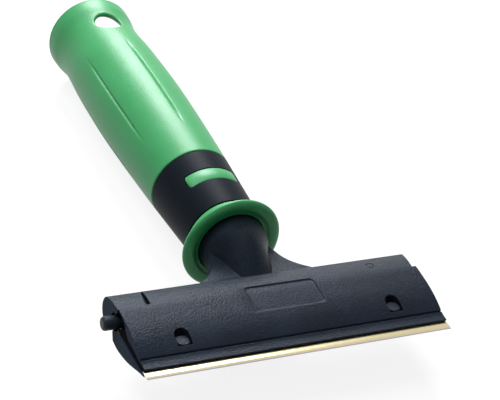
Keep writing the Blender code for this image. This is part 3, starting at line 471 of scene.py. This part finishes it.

# %% [markdown]
# The head is a black moulding with a fine grain. It shines less on the neck, whose paler colour
# paints in the sheen there, and the flat webs are painted a little paler as sheen. The push bar is
# a rougher, greyer moulding. The sleeve is a smoother black, and the ring, the window bar and the
# grip are a soft satin green.

# %% Plastics
BLACK_GLOSS, BLUISH = (0.29, 0.38), (0.60, 0.76, 1.0)
HEAD_SHINE, HEAD_ENDS = 0.15, 47.4 * MM
head_black = moulded("head_black", (0.001, 0.002, 0.004), (0.010, 0.018, 0.034), 1850, 0.00020,
                     BLACK_GLOSS, HEAD_SHINE, BLUISH)
# The last colour is a bluish sheen painted on the head's outer end faces.
dull_ends_with_painted_sheen(head_black, HEAD_ENDS, HEAD_SHINE, 0.01, (0.028, 0.047, 0.088))
# The neck and the webs are one moulding with the head; their paler colours are painted sheen.
neck_painted_sheen = moulded("neck_painted_sheen", (0.002, 0.004, 0.007), (0.023, 0.033, 0.047), 1850, 0.00020,
                     BLACK_GLOSS, 0.06, BLUISH)
web_painted_sheen = moulded("web_painted_sheen", (0.004, 0.007, 0.012), (0.026, 0.038, 0.056), 1850, 0.00018,
                    BLACK_GLOSS, 0.12, BLUISH)
bar_black = moulded("bar_black", (0.004, 0.007, 0.010), (0.026, 0.036, 0.047), 2000, 0.00026,
                    (0.28, 0.40), 0.16, (0.70, 0.85, 1.0))
sleeve_black = moulded("sleeve_black", (0.002, 0.004, 0.006), (0.007, 0.010, 0.015), 1500, 0.00003,
                       (0.40, 0.52), 0.06, (0.62, 0.78, 1.0))
soft_green = moulded("soft_green", (0.028, 0.310, 0.088), (0.046, 0.390, 0.126), 2600, 0.00006,
                     (0.36, 0.44), 0.42, (0.86, 0.94, 1.0))
print("plastics ready")

# %% [markdown]
# Steel is drawn or rolled, so its fine lines run one way. A picture of scratches could give them,
# but noise stretched along one direction needs no picture and has no seams. The blade also has a
# coloured skin that is ground away in a thin band along its two edges.

# %% Steels
STEEL_EDGE, BLADE_MIDDLE = 0.00005, 11.0
PLAIN_STEEL = ("hinge_pin_left", "hinge_pin_right", "retaining_screw", "screw_washer")


def brushed(name, colour, stretch, line_height, gloss):
    """A steel with fine lines: noise stretched along one direction."""
    made, tree, shader, place, rounded = finish_base(name, STEEL_EDGE)
    stretched = put(tree, "ShaderNodeMapping", {"Vector": place, "Scale": stretch})
    lines = noise(tree, stretched.outputs["Vector"], 1.0, 4.0)
    dark = tuple(c * 0.90 for c in colour)
    pale = tuple(min(1.0, c * 1.08) for c in colour)
    skin = blend(tree, lines, (*dark, 1), (*pale, 1))
    tree.links.new(between(tree, lines, *gloss), shader.inputs["Roughness"])
    bumped(tree, shader, lines, line_height, rounded)
    shader.inputs["Metallic"].default_value = 1.0
    return made, tree, shader, place, skin


def blade_finish(name):
    """The blade: cream skin, a grey ground band along both edges, and painted shade on its ends
    between the jaws.
    """
    made, tree, shader, place, skin = brushed(name, (0.60, 0.53, 0.33), (40, 9000, 9000), 0.000004,
                                              (0.18, 0.28))
    middle = ZERO[1] + BLADE_MIDDLE * MM
    ground = off_middle(tree, place, "Y", middle, 10.55 * MM, 10.70 * MM)
    colour = blend(tree, ground, skin, (0.36, 0.34, 0.42, 1))
    tree.links.new(colour, shader.inputs["Base Color"])
    # Painted shade: where the blade's ends sit between the jaws, its shader is mixed into a
    # near-black matt one.
    shaded_end_zone = off_middle(tree, place, "X", ZERO[0], 46.2 * MM, 46.6 * MM)
    y = put(tree, "ShaderNodeSeparateXYZ", {"Vector": place}).outputs["Y"]
    behind = rising(tree, y, ZERO[1] + 3.3 * MM, ZERO[1] + 3.6 * MM)
    dull = put(tree, "ShaderNodeBsdfDiffuse", {"Color": (0.012, 0.011, 0.010, 1)})
    mixed = put(tree, "ShaderNodeMixShader", {0: maths(tree, 'MULTIPLY', shaded_end_zone, behind),
                                              1: shader.outputs[0], 2: dull.outputs[0]})
    tree.links.new(mixed.outputs[0], tree.nodes["Material Output"].inputs["Surface"])
    return made


def drawn_steel(name):
    """Plain bright steel for pins, spring, screw and washer."""
    made, tree, shader, _, skin = brushed(name, (0.60, 0.61, 0.63), (900, 2500, 2500), 0.000006,
                                          (0.24, 0.38))
    tree.links.new(skin, shader.inputs["Base Color"])
    return made


blade_steel = blade_finish("blade_steel")
bright_steel = drawn_steel("bright_steel")
for name in PLAIN_STEEL:
    nodes[name].material_slots[0].material = bright_steel
nodes["blade"].material_slots[0].material = blade_steel
print("steels ready")

# %% [markdown]
# The grip is a soft green sleeve that swells in the hand, draws in near the cross hole and flares
# at its rear end. It is a turned surface whose radius changes along the handle. Six shallow
# creases are pressed into it and fade in and out. They could be cut with a tool, but a depth that
# is part of the radius keeps the surface smooth beside them. One closed surface runs over the
# outside, round the rear rim and down the socket. Places along the handle are counted from the
# ring.

# %% Grip sizes
COLLAR = 53.55
GRIP_START, GRIP_END, GRIP_RADIUS = 31.2, 127.7, 15.7
GRIP_SHAPE = [(0.0, 0.895), (0.14, 0.936), (0.30, 0.975), (0.45, 0.998), (0.61, 0.991),
              (0.73, 0.970), (0.81, 0.938), (0.853, 0.930), (0.895, 0.945), (0.94, 0.985),
              (1.0, 1.0)]
SOCKET_FLOOR, FLOOR_RADIUS, MOUTH_RADIUS = 45.0, 11.0, 12.8
CORE_END, HOLE_AT, HOLE_RADIUS = 104.0, 112.9, 4.6
WALL, GAP = 1.5, 0.3


def grip_radius(station):
    """Outer radius of the grip at a distance behind the ring."""
    return GRIP_RADIUS * soft_line(GRIP_SHAPE, (station - GRIP_START) / (GRIP_END - GRIP_START))


def socket_radius(station):
    """Radius of the tapered socket, which grows evenly from its floor to its mouth."""
    depth = (station - SOCKET_FLOOR) / (GRIP_END - SOCKET_FLOOR)
    return FLOOR_RADIUS + (MOUTH_RADIUS - FLOOR_RADIUS) * depth


print("grip radius at the waist: %.2f mm" % grip_radius(112.0))

# %% Grip creases
CREASES, CREASE_TURN, CREASE_HALF, CREASE_DEPTH = 6, 4.0, 3.0, 0.55
CREASE_START, CREASE_END, CREASE_FADE = 45.0, 100.0, 12


def crease_depth(station, angle):
    """Depth of the creases: a rounded notch in angle times a soft start and end along the grip."""
    run = (soft_step((station - CREASE_START) / CREASE_FADE)
           * soft_step((CREASE_END - station) / CREASE_FADE))
    sector = 2 * np.pi / CREASES
    off = (angle - math.radians(CREASE_TURN) + sector / 2) % sector - sector / 2
    notch = np.clip(1 - np.abs(off) / math.radians(CREASE_HALF), 0, 1)
    return CREASE_DEPTH * run * notch ** 1.3


def crease_angles():
    """Angles round the grip, crowded near each crease."""
    sector = 360 / CREASES
    near = np.array([-3.4, -3.0, -2.3, -1.6, -1.0, -0.5, 0, 0.5, 1.0, 1.6, 2.3, 3.0, 3.4])
    far = np.linspace(near[-1], sector - near[-1], 30)[1:-1]
    one = np.concatenate([near, far])
    return np.radians((CREASE_TURN + one + sector * np.arange(CREASES)[:, None]).ravel())


print("angles round the grip:", len(crease_angles()))

# %% Grip surface
FRONT_ROUND, REAR_ROUND, MOUTH_ROUND = 0.4, 1.8, 0.4
HOLE_ROUND, HOLE_SINK = 0.9, 6.3


def grip_rings():
    """Rings over the outside, round the rear rim, down the socket and back inside to the front.

    On the outside the radius is the grip's own less the depth of the creases, and the rim and the
    edges are parts of circles."""
    a = crease_angles()
    s = np.linspace(GRIP_START + FRONT_ROUND, GRIP_END - REAR_ROUND, 150)[:, None]
    outside = round_axis(s + COLLAR, grip_radius(s) - crease_depth(s, a), a)
    edge_at = GRIP_START + FRONT_ROUND
    edge = arc((edge_at, grip_radius(edge_at) - FRONT_ROUND), FRONT_ROUND, 180, 90, 5)[:-1]
    rim = arc((GRIP_END - REAR_ROUND, grip_radius(GRIP_END) - REAR_ROUND), REAR_ROUND, 86, 0, 12)
    mouth = arc((GRIP_END - MOUTH_ROUND, MOUTH_RADIUS + MOUTH_ROUND), MOUTH_ROUND, 0, -90, 5)
    shoulder = CORE_END + GAP
    under = np.linspace(CORE_END, GRIP_START, 30)
    inside = [(shoulder, socket_radius(shoulder)), (shoulder, grip_radius(CORE_END) - WALL)]
    inside += list(zip(under, grip_radius(under) - WALL))
    rear = np.concatenate([rim, mouth, inside])
    return np.concatenate([turned(edge + (COLLAR, 0), a), outside, turned(rear + (COLLAR, 0), a)])


def hole_cutter():
    """A round bore straight down through the handle, with a rounded edge at both surfaces.

    Near each surface the bore's wall follows a quarter circle: at turn t its distance from the
    bore is f (1 - cos t) and its depth below the grip is f (1 - sin t). Inside, the bore is sunk
    wider, which leaves a thin edge."""
    phi = full_turn(72)
    f = HOLE_ROUND
    t = np.radians(np.array([0, 12, 24, 36, 48, 60, 70, 78]))[:, None]
    out = HOLE_RADIUS + np.concatenate([f * (1 - np.cos(t)), [[f * 0.79 + 1.2]]])
    deep = np.concatenate([f * (1 - np.sin(t)), [[f * 0.022 - 0.26]]])
    x, y = out * np.sin(phi), HOLE_AT + out * np.cos(phi)
    top = np.sqrt(np.clip(grip_radius(y) ** 2 - x ** 2, 1, None)) - deep
    upper = np.stack([x, y + COLLAR, top], axis=-1)
    lid = upper[-1:] * (1, 1, 0) + (0, 0, 20)
    wide_x, wide_y = HOLE_SINK * np.sin(phi), HOLE_AT + HOLE_SINK * np.cos(phi)
    sunk = np.sqrt(grip_radius(wide_y) ** 2 - wide_x ** 2) - 2.7
    sink = np.stack([wide_x, wide_y + COLLAR, sunk], axis=-1)[None]
    upper = np.concatenate([sink, upper[:1] - (0, 0, 0.1), upper, lid])
    return solid_of("hole_cutter", np.concatenate([upper[::-1], upper * (1, 1, -1)]))


grip_blank = solid_of("grip_blank", grip_rings(), looped=True)
piece("soft_grip", carved(grip_blank, [hole_cutter()]), "handle", "green_soft", soft_green,
      "grip_cover", crease=40)

# %% [markdown]
# Ahead of the grip the handle is a smooth black sleeve, and its core runs on under the grip as the
# wall of the pole socket. A lathe would turn such a shape from one outline, and so does this cell.
# The outline runs along the outside and comes back through the socket and the plug's bore.

# %% Sleeve and core
SLEEVE_START, SLEEVE_END = 5.5, 30.9
PLUG_END, PLUG_RADIUS, PLUG_HALF, SCREW_RADIUS = 40.3, 8.3, 7.3, 2.8


def sleeve_radius(station):
    """Radius of the bare sleeve, which grows evenly from 12.5 to 14 mm."""
    return 12.5 + 1.5 * (station - SLEEVE_START) / (SLEEVE_END - SLEEVE_START)


def core_rings():
    """Rings over the sleeve, under the grip, down the socket and back through the plug's bore.

    The plug's bore is a circle whose x is held between two flats."""
    under = np.linspace(GRIP_START - GAP, CORE_END, 40)
    below_grip = grip_radius(np.clip(under, GRIP_START, None)) - WALL - GAP
    outer = [(-0.3, 11.0), (SLEEVE_START, 11.0), (SLEEVE_START, 12.4), (5.6, 12.5)]
    outer += [(s, sleeve_radius(s)) for s in np.linspace(6.0, 30.7, 30)]
    outer += [(SLEEVE_END, 13.85)] + list(zip(under, below_grip))
    inner = [(s, socket_radius(s)) for s in (CORE_END, SOCKET_FLOOR + 0.6)]
    inner += [(SOCKET_FLOOR, 10.4), (SOCKET_FLOOR, SCREW_RADIUS), (PLUG_END, SCREW_RADIUS)]
    rings = turned(np.array(outer + inner) + (COLLAR, 0), full_turn(128))
    bore = turned([(PLUG_END + COLLAR, PLUG_RADIUS), (COLLAR - 0.3, PLUG_RADIUS)], full_turn(128))
    bore[..., 0] = np.clip(bore[..., 0], -PLUG_HALF, PLUG_HALF)
    return np.concatenate([rings, bore])


print("sleeve radius at the grip: %.2f mm" % sleeve_radius(SLEEVE_END))

# %% [markdown]
# A green bar with round corners is let into the sleeve's top. A flat bar would stand off the
# round sleeve, so its sections are wrapped round it. The same function, a little larger, cuts its
# recess.

# %% Window in the sleeve
WINDOW_AT, WINDOW_STRAIGHT, WINDOW_HALF, WINDOW_CORNER = 19.3, 8.3, 2.55, 0.9


def window_rings(grow, low, high, dip=0.0):
    """A bar with rounded corners, wrapped on the sleeve: sections across it, from end to end.

    A place u millimetres round the sleeve has the angle u / r. Low and high are the heights of the
    bar's underside and top over the sleeve, and dip rounds the top's long edges."""
    t = np.radians(np.linspace(0, 90, 8))
    half, corner = WINDOW_HALF + grow, WINDOW_CORNER + grow
    straight = np.linspace(0, WINDOW_STRAIGHT, 12)[:-1]
    along = np.concatenate([straight, WINDOW_STRAIGHT + corner * np.sin(t)])
    breadth = np.concatenate([np.full(11, half), half - corner * (1 - np.cos(t))])
    along = np.concatenate([-along[:0:-1], along])
    breadth = np.concatenate([breadth[:0:-1], breadth])[:, None]
    a = (along / sleeve_radius(WINDOW_AT))[:, None]
    s = WINDOW_AT + breadth * np.array([-1, -0.92, 0.92, 1, 1, 0.92, -0.92, -1])
    r = sleeve_radius(s) + np.array([high - dip, high, high, high - dip, low, low, low, low])
    return round_axis(s + COLLAR, r, a)


recess = solid_of("window_cutter", window_rings(0.3, -1.5, 1.0))
core_blank = solid_of("core_blank", core_rings(), looped=True)
piece("sleeve_and_core", carved(core_blank, [recess]), "handle", "black_core", sleeve_black,
      "handle_core", crease=30)
piece("window_bar", solid_of("window_bar", window_rings(0.0, -1.2, -0.02, dip=0.12)), "handle",
      "green_soft", soft_green, "window_pad", crease=50)

# %% [markdown]
# The thumb ring is a turned soft part: a fat rim whose front rolls over towards the neck, and a
# short skirt that lies on the sleeve's front. A plain torus would be round everywhere, so the ring
# has an outline of its own that is turned round the handle's axis.

# %% Thumb ring


def ring_outline():
    """Outline of the ring as (y, radius), from its inner front edge over the rim to the skirt.

    The front rolls over like part of an ellipse: at turn t it is at y = -0.35 - 1.15 sin t and at
    radius 14.4 + 2.1 cos t. Then come a tight round behind the outermost point and the back."""
    t = np.radians(np.linspace(140, 4, 28))
    face = [(-0.50, 11.3), (-0.54, 11.8), (-0.76, 12.35)]
    roll = np.stack([-0.35 - 1.15 * np.sin(t), 14.4 + 2.1 * np.cos(t)], axis=-1)
    rim = arc((-0.35, 15.4), 1.1, 90, -38, 18)
    back = [(0.62, 14.3), (0.86, 13.85), (1.25, 13.4), (1.8, 13.05), (2.6, 12.8), (3.6, 12.65),
            (4.9, 12.5), (5.2, 12.2), (5.2, 11.3)]
    return np.concatenate([face, roll, rim, back]) + (COLLAR, 0)


piece("thumb_ring", solid_of("thumb_ring", turned(ring_outline(), full_turn(144)), looped=True),
      "handle", "green_soft", soft_green, "thumb_collar", crease=60)

# %% [markdown]
# The head is a clamp. Its upper jaw, the round spine behind it, the neck and the webs are one
# black moulding. The jaw is one outline seen from the side, drawn along the blade. Then the
# pockets, bores and steps are cut as in the real tool, and the finish rounds the light at the cut
# edges.

# %% Upper jaw outline
HINGE, SPINE_RADIUS = (30.0, -0.5), 4.9
BAR = (25.3, 0.1)
JAW_HALF, PAST_END = 50.0, 51.0
CROWN = [(3.2, 0.95), (5.83, 1.25), (8.17, 2.24), (11.39, 3.38), (15.49, 4.32), (20.46, 4.94),
         (24.85, 5.2), (28.94, 4.68), (32.45, 3.743)]
SEAM, SEAM_PLACES = 6.7, [6.36, 6.42, 6.48, 6.6, 6.8, 6.92, 6.98, 7.04]


def crown(y):
    """Height of the upper jaw's top at a distance behind the blade's edge."""
    return soft_line(CROWN, y)


def upper_outline():
    """Side view of the upper jaw: lip, crown with its seam groove, ridge and round spine."""
    y = np.unique(np.concatenate([np.linspace(3.2, 32.45, 64), SEAM_PLACES]))
    groove = 0.5 * soft_step((0.34 - np.abs(y - SEAM)) / 0.20)
    top = np.stack([y, crown(y) - groove], axis=-1)[1:]
    nose = [(3.25, 0.5), (3.2, 0.56), (3.2, 0.86), (3.27, 0.97)]
    spine = arc(HINGE, SPINE_RADIUS, 60, -191.8, 64)[1:]
    return np.concatenate([nose, top, spine])


def along_blade(name, outline):
    """An outline of (y, z) drawn along x over the whole length of the jaw."""
    places = np.linspace(-JAW_HALF, JAW_HALF, 15)
    return solid_of(name, [np.insert(outline, 0, x, axis=1) for x in places])


print("crown at y 24: %.2f mm" % crown(24.0))

# %% Plain cutters
CORE_POCKETS = np.arange(8) * 11.2 - 39.2
BAR_BORE, NUB_RECESS, PIN_BORE = 2.3, 2.8, 1.25


def block(name, outline, axis, low, high):
    """A prism: an outline in the other two axes, drawn along x, y or z from low to high."""
    outline = np.asarray(outline, float)
    column = "xyz".index(axis)
    return solid_of(name, [np.insert(outline, column, place, axis=1) for place in (low, high)])


def box_of(name, low, high):
    """A rectangular block between two corners."""
    plan = [(low[0], low[1]), (high[0], low[1]), (high[0], high[1]), (low[0], high[1])]
    return block(name, plan, "z", low[2], high[2])


def rod(name, centre, radius, low, high):
    """A round rod along the blade."""
    return block(name, arc(centre, radius, 0, 360, 49)[:-1], "x", low, high)


def core_cutters(low, high):
    """The row of eight cored-out pockets on a jaw's inner face."""
    return [box_of("core_pocket", (x - 4.1, 16.8, low), (x + 4.1, 20.8, high))
            for x in CORE_POCKETS]


def head_bores():
    """The channel for the push bar, the recess round its nub and the bores for both pins."""
    return [rod("bar_bore", BAR, BAR_BORE, -PAST_END, 46.4),
            rod("nub_recess", BAR, NUB_RECESS, -PAST_END, -47.6),
            rod("pin_bore_left", HINGE, PIN_BORE, -49.2, -19.7),
            rod("pin_bore_right", HINGE, PIN_BORE, 19.7, 49.2)]


print("core pockets:", len(CORE_POCKETS))

# %% Upper jaw cutters
PEG_PLACES = (-35.0, 35.0)
KNUCKLES = ((-35.7, -22.0), (22.0, 35.7))


def peg_pockets():
    """Two pockets over the blade's pegs, square in front and round behind, through the jaw."""
    made = []
    for x in PEG_PLACES:
        behind = arc((x, 12.2), 2.3, 0, 180, 25)
        front = [arc((x - 2.1, 8.9), 0.2, 180, 270, 5), arc((x + 2.1, 8.9), 0.2, 270, 360, 5)]
        made.append(block("peg_pocket", np.concatenate([behind, *front]), "z", -1, 7))
    return made


def knuckle_rooms():
    """Room in the spine for the lower jaw's two knuckles and their swing."""
    made = []
    for start, end in KNUCKLES:
        low, high = start - GAP, end + GAP
        made.append(box_of("room", (low, 23.3, -7), (high, 30, 0.5)))
        made.append(box_of("swing_room", (low, 29, -7), (high, 32.9, -2.232)))
        made.append(rod("round_room", HINGE, 2.75, low, high))
    return made


def end_steps():
    """The slanted step behind the bar at the right end, and the shallow front step at the left."""
    right = [(PAST_END, 24.6), (PAST_END, 32.45), (50, 32.45), (48.6, 24.6)]
    left = [(-PAST_END, 2.2), (-49.7, 2.2), (-49.7, 24.6), (-PAST_END, 24.6)]
    return [block("step_right", right, "z", -7, 7), block("step_left", left, "z", -7, 7)]


def end_hollow():
    """The hollow in the left end that runs forward from the nub along the gap between the jaws."""
    side = [(9.1, 0.40), (9.1, 0.78), (15.8, 0.99), (17.5, 1.9), (19.2, 3.1), (20.7, 3.9),
            (22.8, 4.5), (24.2, 4.7), (24.7, 4.0), (25.3, 2.9), (25.3, 0.40)]
    return block("end_hollow", side, "x", -PAST_END, -47.9)


def relief_slot():
    """The narrow slot across the spine: round in front and slim behind."""
    nose = arc((-40.35, 25.9), 0.8, 180, 360, 13)
    plan = np.concatenate([nose, [(-39.25, 30.5), (-39.15, 34), (-39.95, 34), (-40.2, 30.5)]])
    return block("relief_slot", plan, "z", 3.0, 7)


print("knuckle rooms and pockets for pegs:", len(KNUCKLES), len(PEG_PLACES))

# %% [markdown]
# The crown holds a shallow panel with round corners and one small ring. Both stay plain. They are
# sunk from the crown itself, so their floors keep its curve and catch the same light, which a flat
# cut wouldn't do.

# %% Panel and ring mark


def rounded_plan(x_low, x_high, y_low, y_high, corner):
    """A rectangle with round corners as one loop of points, evenly spread along each side."""
    corners = [((x_high - corner, y_low + corner), -90), ((x_high - corner, y_high - corner), 0),
               ((x_low + corner, y_high - corner), 90), ((x_low + corner, y_low + corner), 180)]
    loop = [arc(centre, corner, start, start + 90, 7) for centre, start in corners]
    sides = [np.linspace(loop[k][-1], loop[(k + 1) % 4][0], 14)[1:-1] for k in range(4)]
    return np.concatenate([part for pair in zip(loop, sides) for part in pair])


def panel_cutter(x_low, x_high, y_low, y_high, corner, depth, slope):
    """A plain shallow panel with round corners and sloped walls whose floor follows the crown.

    Each ring is the panel's plan drawn in by a distance d, and lies below the crown by the depth
    times a soft step of d over the slope's width."""
    half = (y_high - y_low) / 2
    rings = []
    for d in np.concatenate([np.linspace(0, slope, 7), np.linspace(slope, half - 0.05, 7)[1:]]):
        plan = rounded_plan(x_low + d, x_high - d, y_low + d, y_high - d,
                            max(corner - d, 0.05 * (1 - d / half)))
        drop = depth * soft_step(d / slope) - 0.01
        rings.append(np.column_stack([plan, crown(plan[:, 1]) - drop]))
    lid = rings[0] + (0, 0, 1.0)
    return solid_of("panel_cutter", [lid] + rings)


def ring_mark(x, y, radius, width, depth):
    """A plain ring pressed into the crown."""
    phi = full_turn(40)[:, None]
    r = radius + width / 2 * np.array([-1, 1, 1, -1])
    px, py = x + r * np.cos(phi), y + r * np.sin(phi)
    pz = crown(py) + np.array([-depth, -depth, 1, 1])
    return solid_of("ring_mark", np.stack([px, py, pz], axis=-1), looped=True)


cuts = end_steps() + knuckle_rooms() + head_bores() + peg_pockets() + core_cutters(-1, 2.3)
cuts += [end_hollow(), relief_slot(),
         panel_cutter(-9.7, 14.1, 15.6, 26.4, corner=1.8, depth=0.40, slope=0.55),
         ring_mark(35.6, 28.3, radius=1.25, width=0.3, depth=0.15)]
piece("upper_jaw", carved(along_blade("jaw_blank", upper_outline()), cuts), "handle",
      "black_moulding", head_black, "head_shell", crease=24)

# %% [markdown]
# From the spine a fairing rises and widens into the round shank that the ring sits on. Its flanks
# are steep, because the mould draws straight up and down. A thin web spreads from it to each side
# and ends in a hollow curve, so the load from the hand reaches the jaw over a wide foot. Each is a
# row of closed sections, because a formula for the section shows how the shape grows.

# %% Neck
NECK_WIDTH = [(0.0, 0.0), (0.115, 0.10), (0.387, 0.29), (0.64, 0.46), (0.816, 0.72), (0.967, 0.96),
              (1.0, 1.0)]
FAIRING_START, FAIRING_END = 33.0, 49.55


def neck_rings():
    """Closed cross-sections from inside the spine to the end of the shank.

    A point at angle a has x = width * sin(a) and z = height * cos(a), each drawn in by the power
    that makes the flanks lean. Along the neck half the width grows from 6.2 to 11 mm by a table,
    the height from 3.2 to 11 mm like a quarter of a sine, and the power falls to one."""
    y = np.concatenate([np.linspace(31, 49.5, 70), np.linspace(49.9, 52.9, 6)])[:, None]
    grown = np.clip((y - FAIRING_START) / (FAIRING_END - FAIRING_START), 0, 1)
    wide = 6.2 + 4.8 * soft_line(NECK_WIDTH, grown)
    tall = 3.2 + 7.8 * np.sin(grown * np.pi / 2)
    lean = 1.46 - 0.46 * grown
    a = full_turn(120)
    x = wide * np.sign(np.sin(a)) * np.abs(np.sin(a)) ** lean
    z = tall * np.sign(np.cos(a)) * np.abs(np.cos(a)) ** lean
    return np.stack([x, np.broadcast_to(y, x.shape), z], axis=-1)


piece("neck", solid_of("neck", neck_rings()), "handle", "black_moulding", neck_painted_sheen,
      "head_shell", crease=60)

# %% Webs
WEB_EDGE = [(0.0, 1.0), (0.09, 0.80), (0.20, 0.58), (0.34, 0.37), (0.50, 0.21), (0.72, 0.09),
            (1.0, 0.0)]
WEB_START, WEB_END = 33.5, 48.95


def web_rings():
    """Flat cross-sections with round edges, drawn in along a hollow curve towards the shank.

    Half the width is 10.6 mm plus 11.3 mm times the curve's value at that place."""
    y = np.linspace(31, WEB_END, 60)[:, None]
    grown = np.clip((y - WEB_START) / (WEB_END - WEB_START), 0, 1)
    half = 10.6 + 11.3 * soft_line(WEB_EDGE, grown)
    t = np.radians(np.linspace(90, -90, 13))
    right = np.stack(np.broadcast_arrays(half - 1.3 + 1.3 * np.cos(t), y, 2.0 * np.sin(t)),
                     axis=-1)
    left = right[:, ::-1] * (-1, 1, 1)
    return np.concatenate([right, left], axis=1)


piece("neck_webs", solid_of("neck_webs", web_rings()), "handle", "black_moulding", web_painted_sheen,
      "head_shell", crease=50)

# %% [markdown]
# The lower jaw swings on two steel pins. It is drawn in the same way as the upper jaw, then its
# two knuckles, the wedges that the push bar rides on and the pegs that hold the blade are joined
# to it. The real jaw is one moulding too, so one joined surface is closer to it than loose blocks.

# %% Lower jaw outline
BELLY = [(2.3, -0.95), (5.29, -1.914), (9.66, -3.696), (13.8, -5.214), (17.48, -6.105),
         (21.62, -6.6), (24.61, -6.27)]


def lower_outline():
    """Side view of the lower jaw: nose, belly and the hollow that clears the spine."""
    y = np.linspace(2.3, 24.61, 40)
    belly = np.stack([y, soft_line(BELLY, y)], axis=-1)[1:]
    hollow = arc(HINGE, SPINE_RADIUS + GAP, 218, 180, 9)
    nose = [(2.36, -0.5), (2.3, -0.56), (2.3, -0.86), (2.38, -0.99)]
    return np.concatenate([nose, belly, hollow])


def knuckles():
    """Two knuckles round the hinge pins, each rooted in the jaw."""
    eye = arc(HINGE, 2.45, 180, -90, 28)[1:]
    root = [(30, -5.4), (27.55, -5.4), (24.61, -6.27), (21.62, -6.6), (17.48, -6.105)]
    side = np.concatenate([[(17.48, -0.5), (27.55, -0.5)], eye, root])
    return [block("knuckle", side, "x", low, high) for low, high in KNUCKLES]


def end_chamfers():
    """A slope on the jaw's inner face at both ends, where the gap between the jaws opens out."""
    slope = np.array([(PAST_END, -0.4), (48.6, -0.4), (50, -1.15), (PAST_END, -1.4)])
    return [block("end_chamfer", slope * (side, 1), "y", 4.0, 20.5) for side in (-1, 1)]


print("points in the lower jaw's outline:", len(lower_outline()))

# %% Wedges, pegs and the lower jaw
WEDGE_PLACES = (-28.85, 28.85)


def wedge(x, top, base, grow):
    """Front view of a wedge, or of the notch over it: upright at the right, sloped at the left."""
    foot = x - 0.6 - grow - (top - base) / 0.45
    return [(foot, base), (x + 0.6 + grow, base), (x + 0.6 + grow, top), (x - 0.6 - grow, top)]


def wedges():
    """The two wedges in the bar's channel."""
    return [block("wedge", wedge(x, -0.3, -2.65, 0), "y", 24.3, 26.3) for x in WEDGE_PLACES]


def pegs():
    """The two blade pegs: between a circle and a square in plan, flat on top, a small round edge.

    In plan a point at an angle is drawn out until the cubes of its x and y add up to one."""
    made = []
    turn = np.radians(np.arange(40) * 9.0)
    circle = np.column_stack([np.cos(turn), np.sin(turn)])
    squarish = circle / np.sum(np.abs(circle) ** 3, axis=1, keepdims=True) ** (1 / 3)
    for x in PEG_PLACES:
        rings = []
        for radius, drop in ((1.96, None), (1.96, 0.18), (1.91, 0.06), (1.80, 0.0)):
            plan = squarish * radius + (x, BLADE_MIDDLE)
            top = 2.5 + (plan[:, 1] - BLADE_MIDDLE) * 0.05
            z = np.full(40, -0.9) if drop is None else top - drop
            rings.append(np.column_stack([plan, z]))
        made.append(solid_of("peg", rings))
    return made


lower_blank = carved(along_blade("lower_bar", lower_outline()), head_bores(), knuckles())
lower_ready = carved(lower_blank, core_cutters(-2.3, 1) + end_chamfers(), wedges() + pegs())
piece("lower_jaw_plate", lower_ready, "lower_jaw", "black_moulding", head_black, "clamp_flap",
      crease=24)

# %% [markdown]
# The push bar is a round rod. Its nub sticks out of the head's left end, two notches in its
# underside ride on the wedges, and a thin spigot at its right end carries the return spring. It is
# a list of places and radii, as a lathe would turn it, and then the notches are cut.

# %% Push bar
NUB_END, NUB_RADIUS, NUB_ROUND = -54.0, 2.12, 0.8


def bar_rings():
    """Rings of the bar from the domed nub to the spigot, from a list of (x, radius).

    The dome's edge is a quarter circle, and at angle phi y is the bar's place plus r cos phi and z
    is its height plus r sin phi."""
    dome = [(NUB_END + NUB_ROUND * (1 - math.sin(a)), NUB_RADIUS - NUB_ROUND * (1 - math.cos(a)))
            for a in np.radians([90, 72, 54, 36, 18, 0])]
    rest = [(-49.0, NUB_RADIUS), (-48.6, 2.0), (37.4, 2.0), (37.6, 1.8), (37.6, 0.9), (41.5, 0.9),
            (41.6, 0.8)]
    x, r = np.array([(NUB_END, 0.5)] + dome + rest).T[:, :, None]
    phi = full_turn(48)
    return np.stack([x + 0 * phi, BAR[0] + r * np.cos(phi), BAR[1] + r * np.sin(phi)], axis=-1)


notches = [block("notch", wedge(x, 0.0, -2.8, 0.3), "y", 22, 29) for x in WEDGE_PLACES]
piece("push_bar", carved(solid_of("bar_blank", bar_rings()), notches), "release_bar",
      "black_moulding", bar_black, "release_bar", crease=40)

# %% [markdown]
# The return spring is a coil of steel wire round the bar's spigot. A stack of rings would look
# alike from afar, but a real coil is one wire, so one round wire is carried along a helix. When
# the bar goes in the real coil gets shorter.

# %% Return spring
BAR_TRAVEL, WIRE_RADIUS, COIL_RADIUS, COIL_TURNS = 4.0, 0.22, 1.55, 7


def coil_rings(start, end):
    """Rings of a round wire along a helix.

    At turn t the wire's middle is at x = start + t * rise, y = R cos t and z = R sin t from the
    bar's axis. Each ring lies across the path, in the outward direction and the one square to
    both."""
    t = np.linspace(0, 2 * np.pi * COIL_TURNS, 24 * COIL_TURNS + 1)[:, None]
    rise = (end - start) / t[-1, 0]
    out = np.concatenate([0 * t, np.cos(t), np.sin(t)], axis=1)
    across = [-COIL_RADIUS * np.sin(t), COIL_RADIUS * np.cos(t)]
    ahead = np.concatenate([rise + 0 * t, *across], axis=1)
    side = np.cross(ahead / np.linalg.norm(ahead, axis=1, keepdims=True), out)
    middle = np.concatenate([start + rise * t, 0 * t, 0 * t], axis=1)
    middle = middle + COIL_RADIUS * out + (0, *BAR)
    phi = full_turn(10)[:, None]
    round_wire = np.cos(phi) * out[:, None] + np.sin(phi) * side[:, None]
    return middle[:, None] + WIRE_RADIUS * round_wire


coil_ends = np.array([corner[0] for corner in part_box("return_spring")])
coil_start, coil_end = (coil_ends - ZERO[0]) / MM
coil_mesh = solid_of("coil_spring", coil_rings(coil_start + WIRE_RADIUS, coil_end - WIRE_RADIUS))
coil = piece("coil_spring", coil_mesh, "handle", "bright_steel", bright_steel, "return_spring",
             crease=40)
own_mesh(coil)
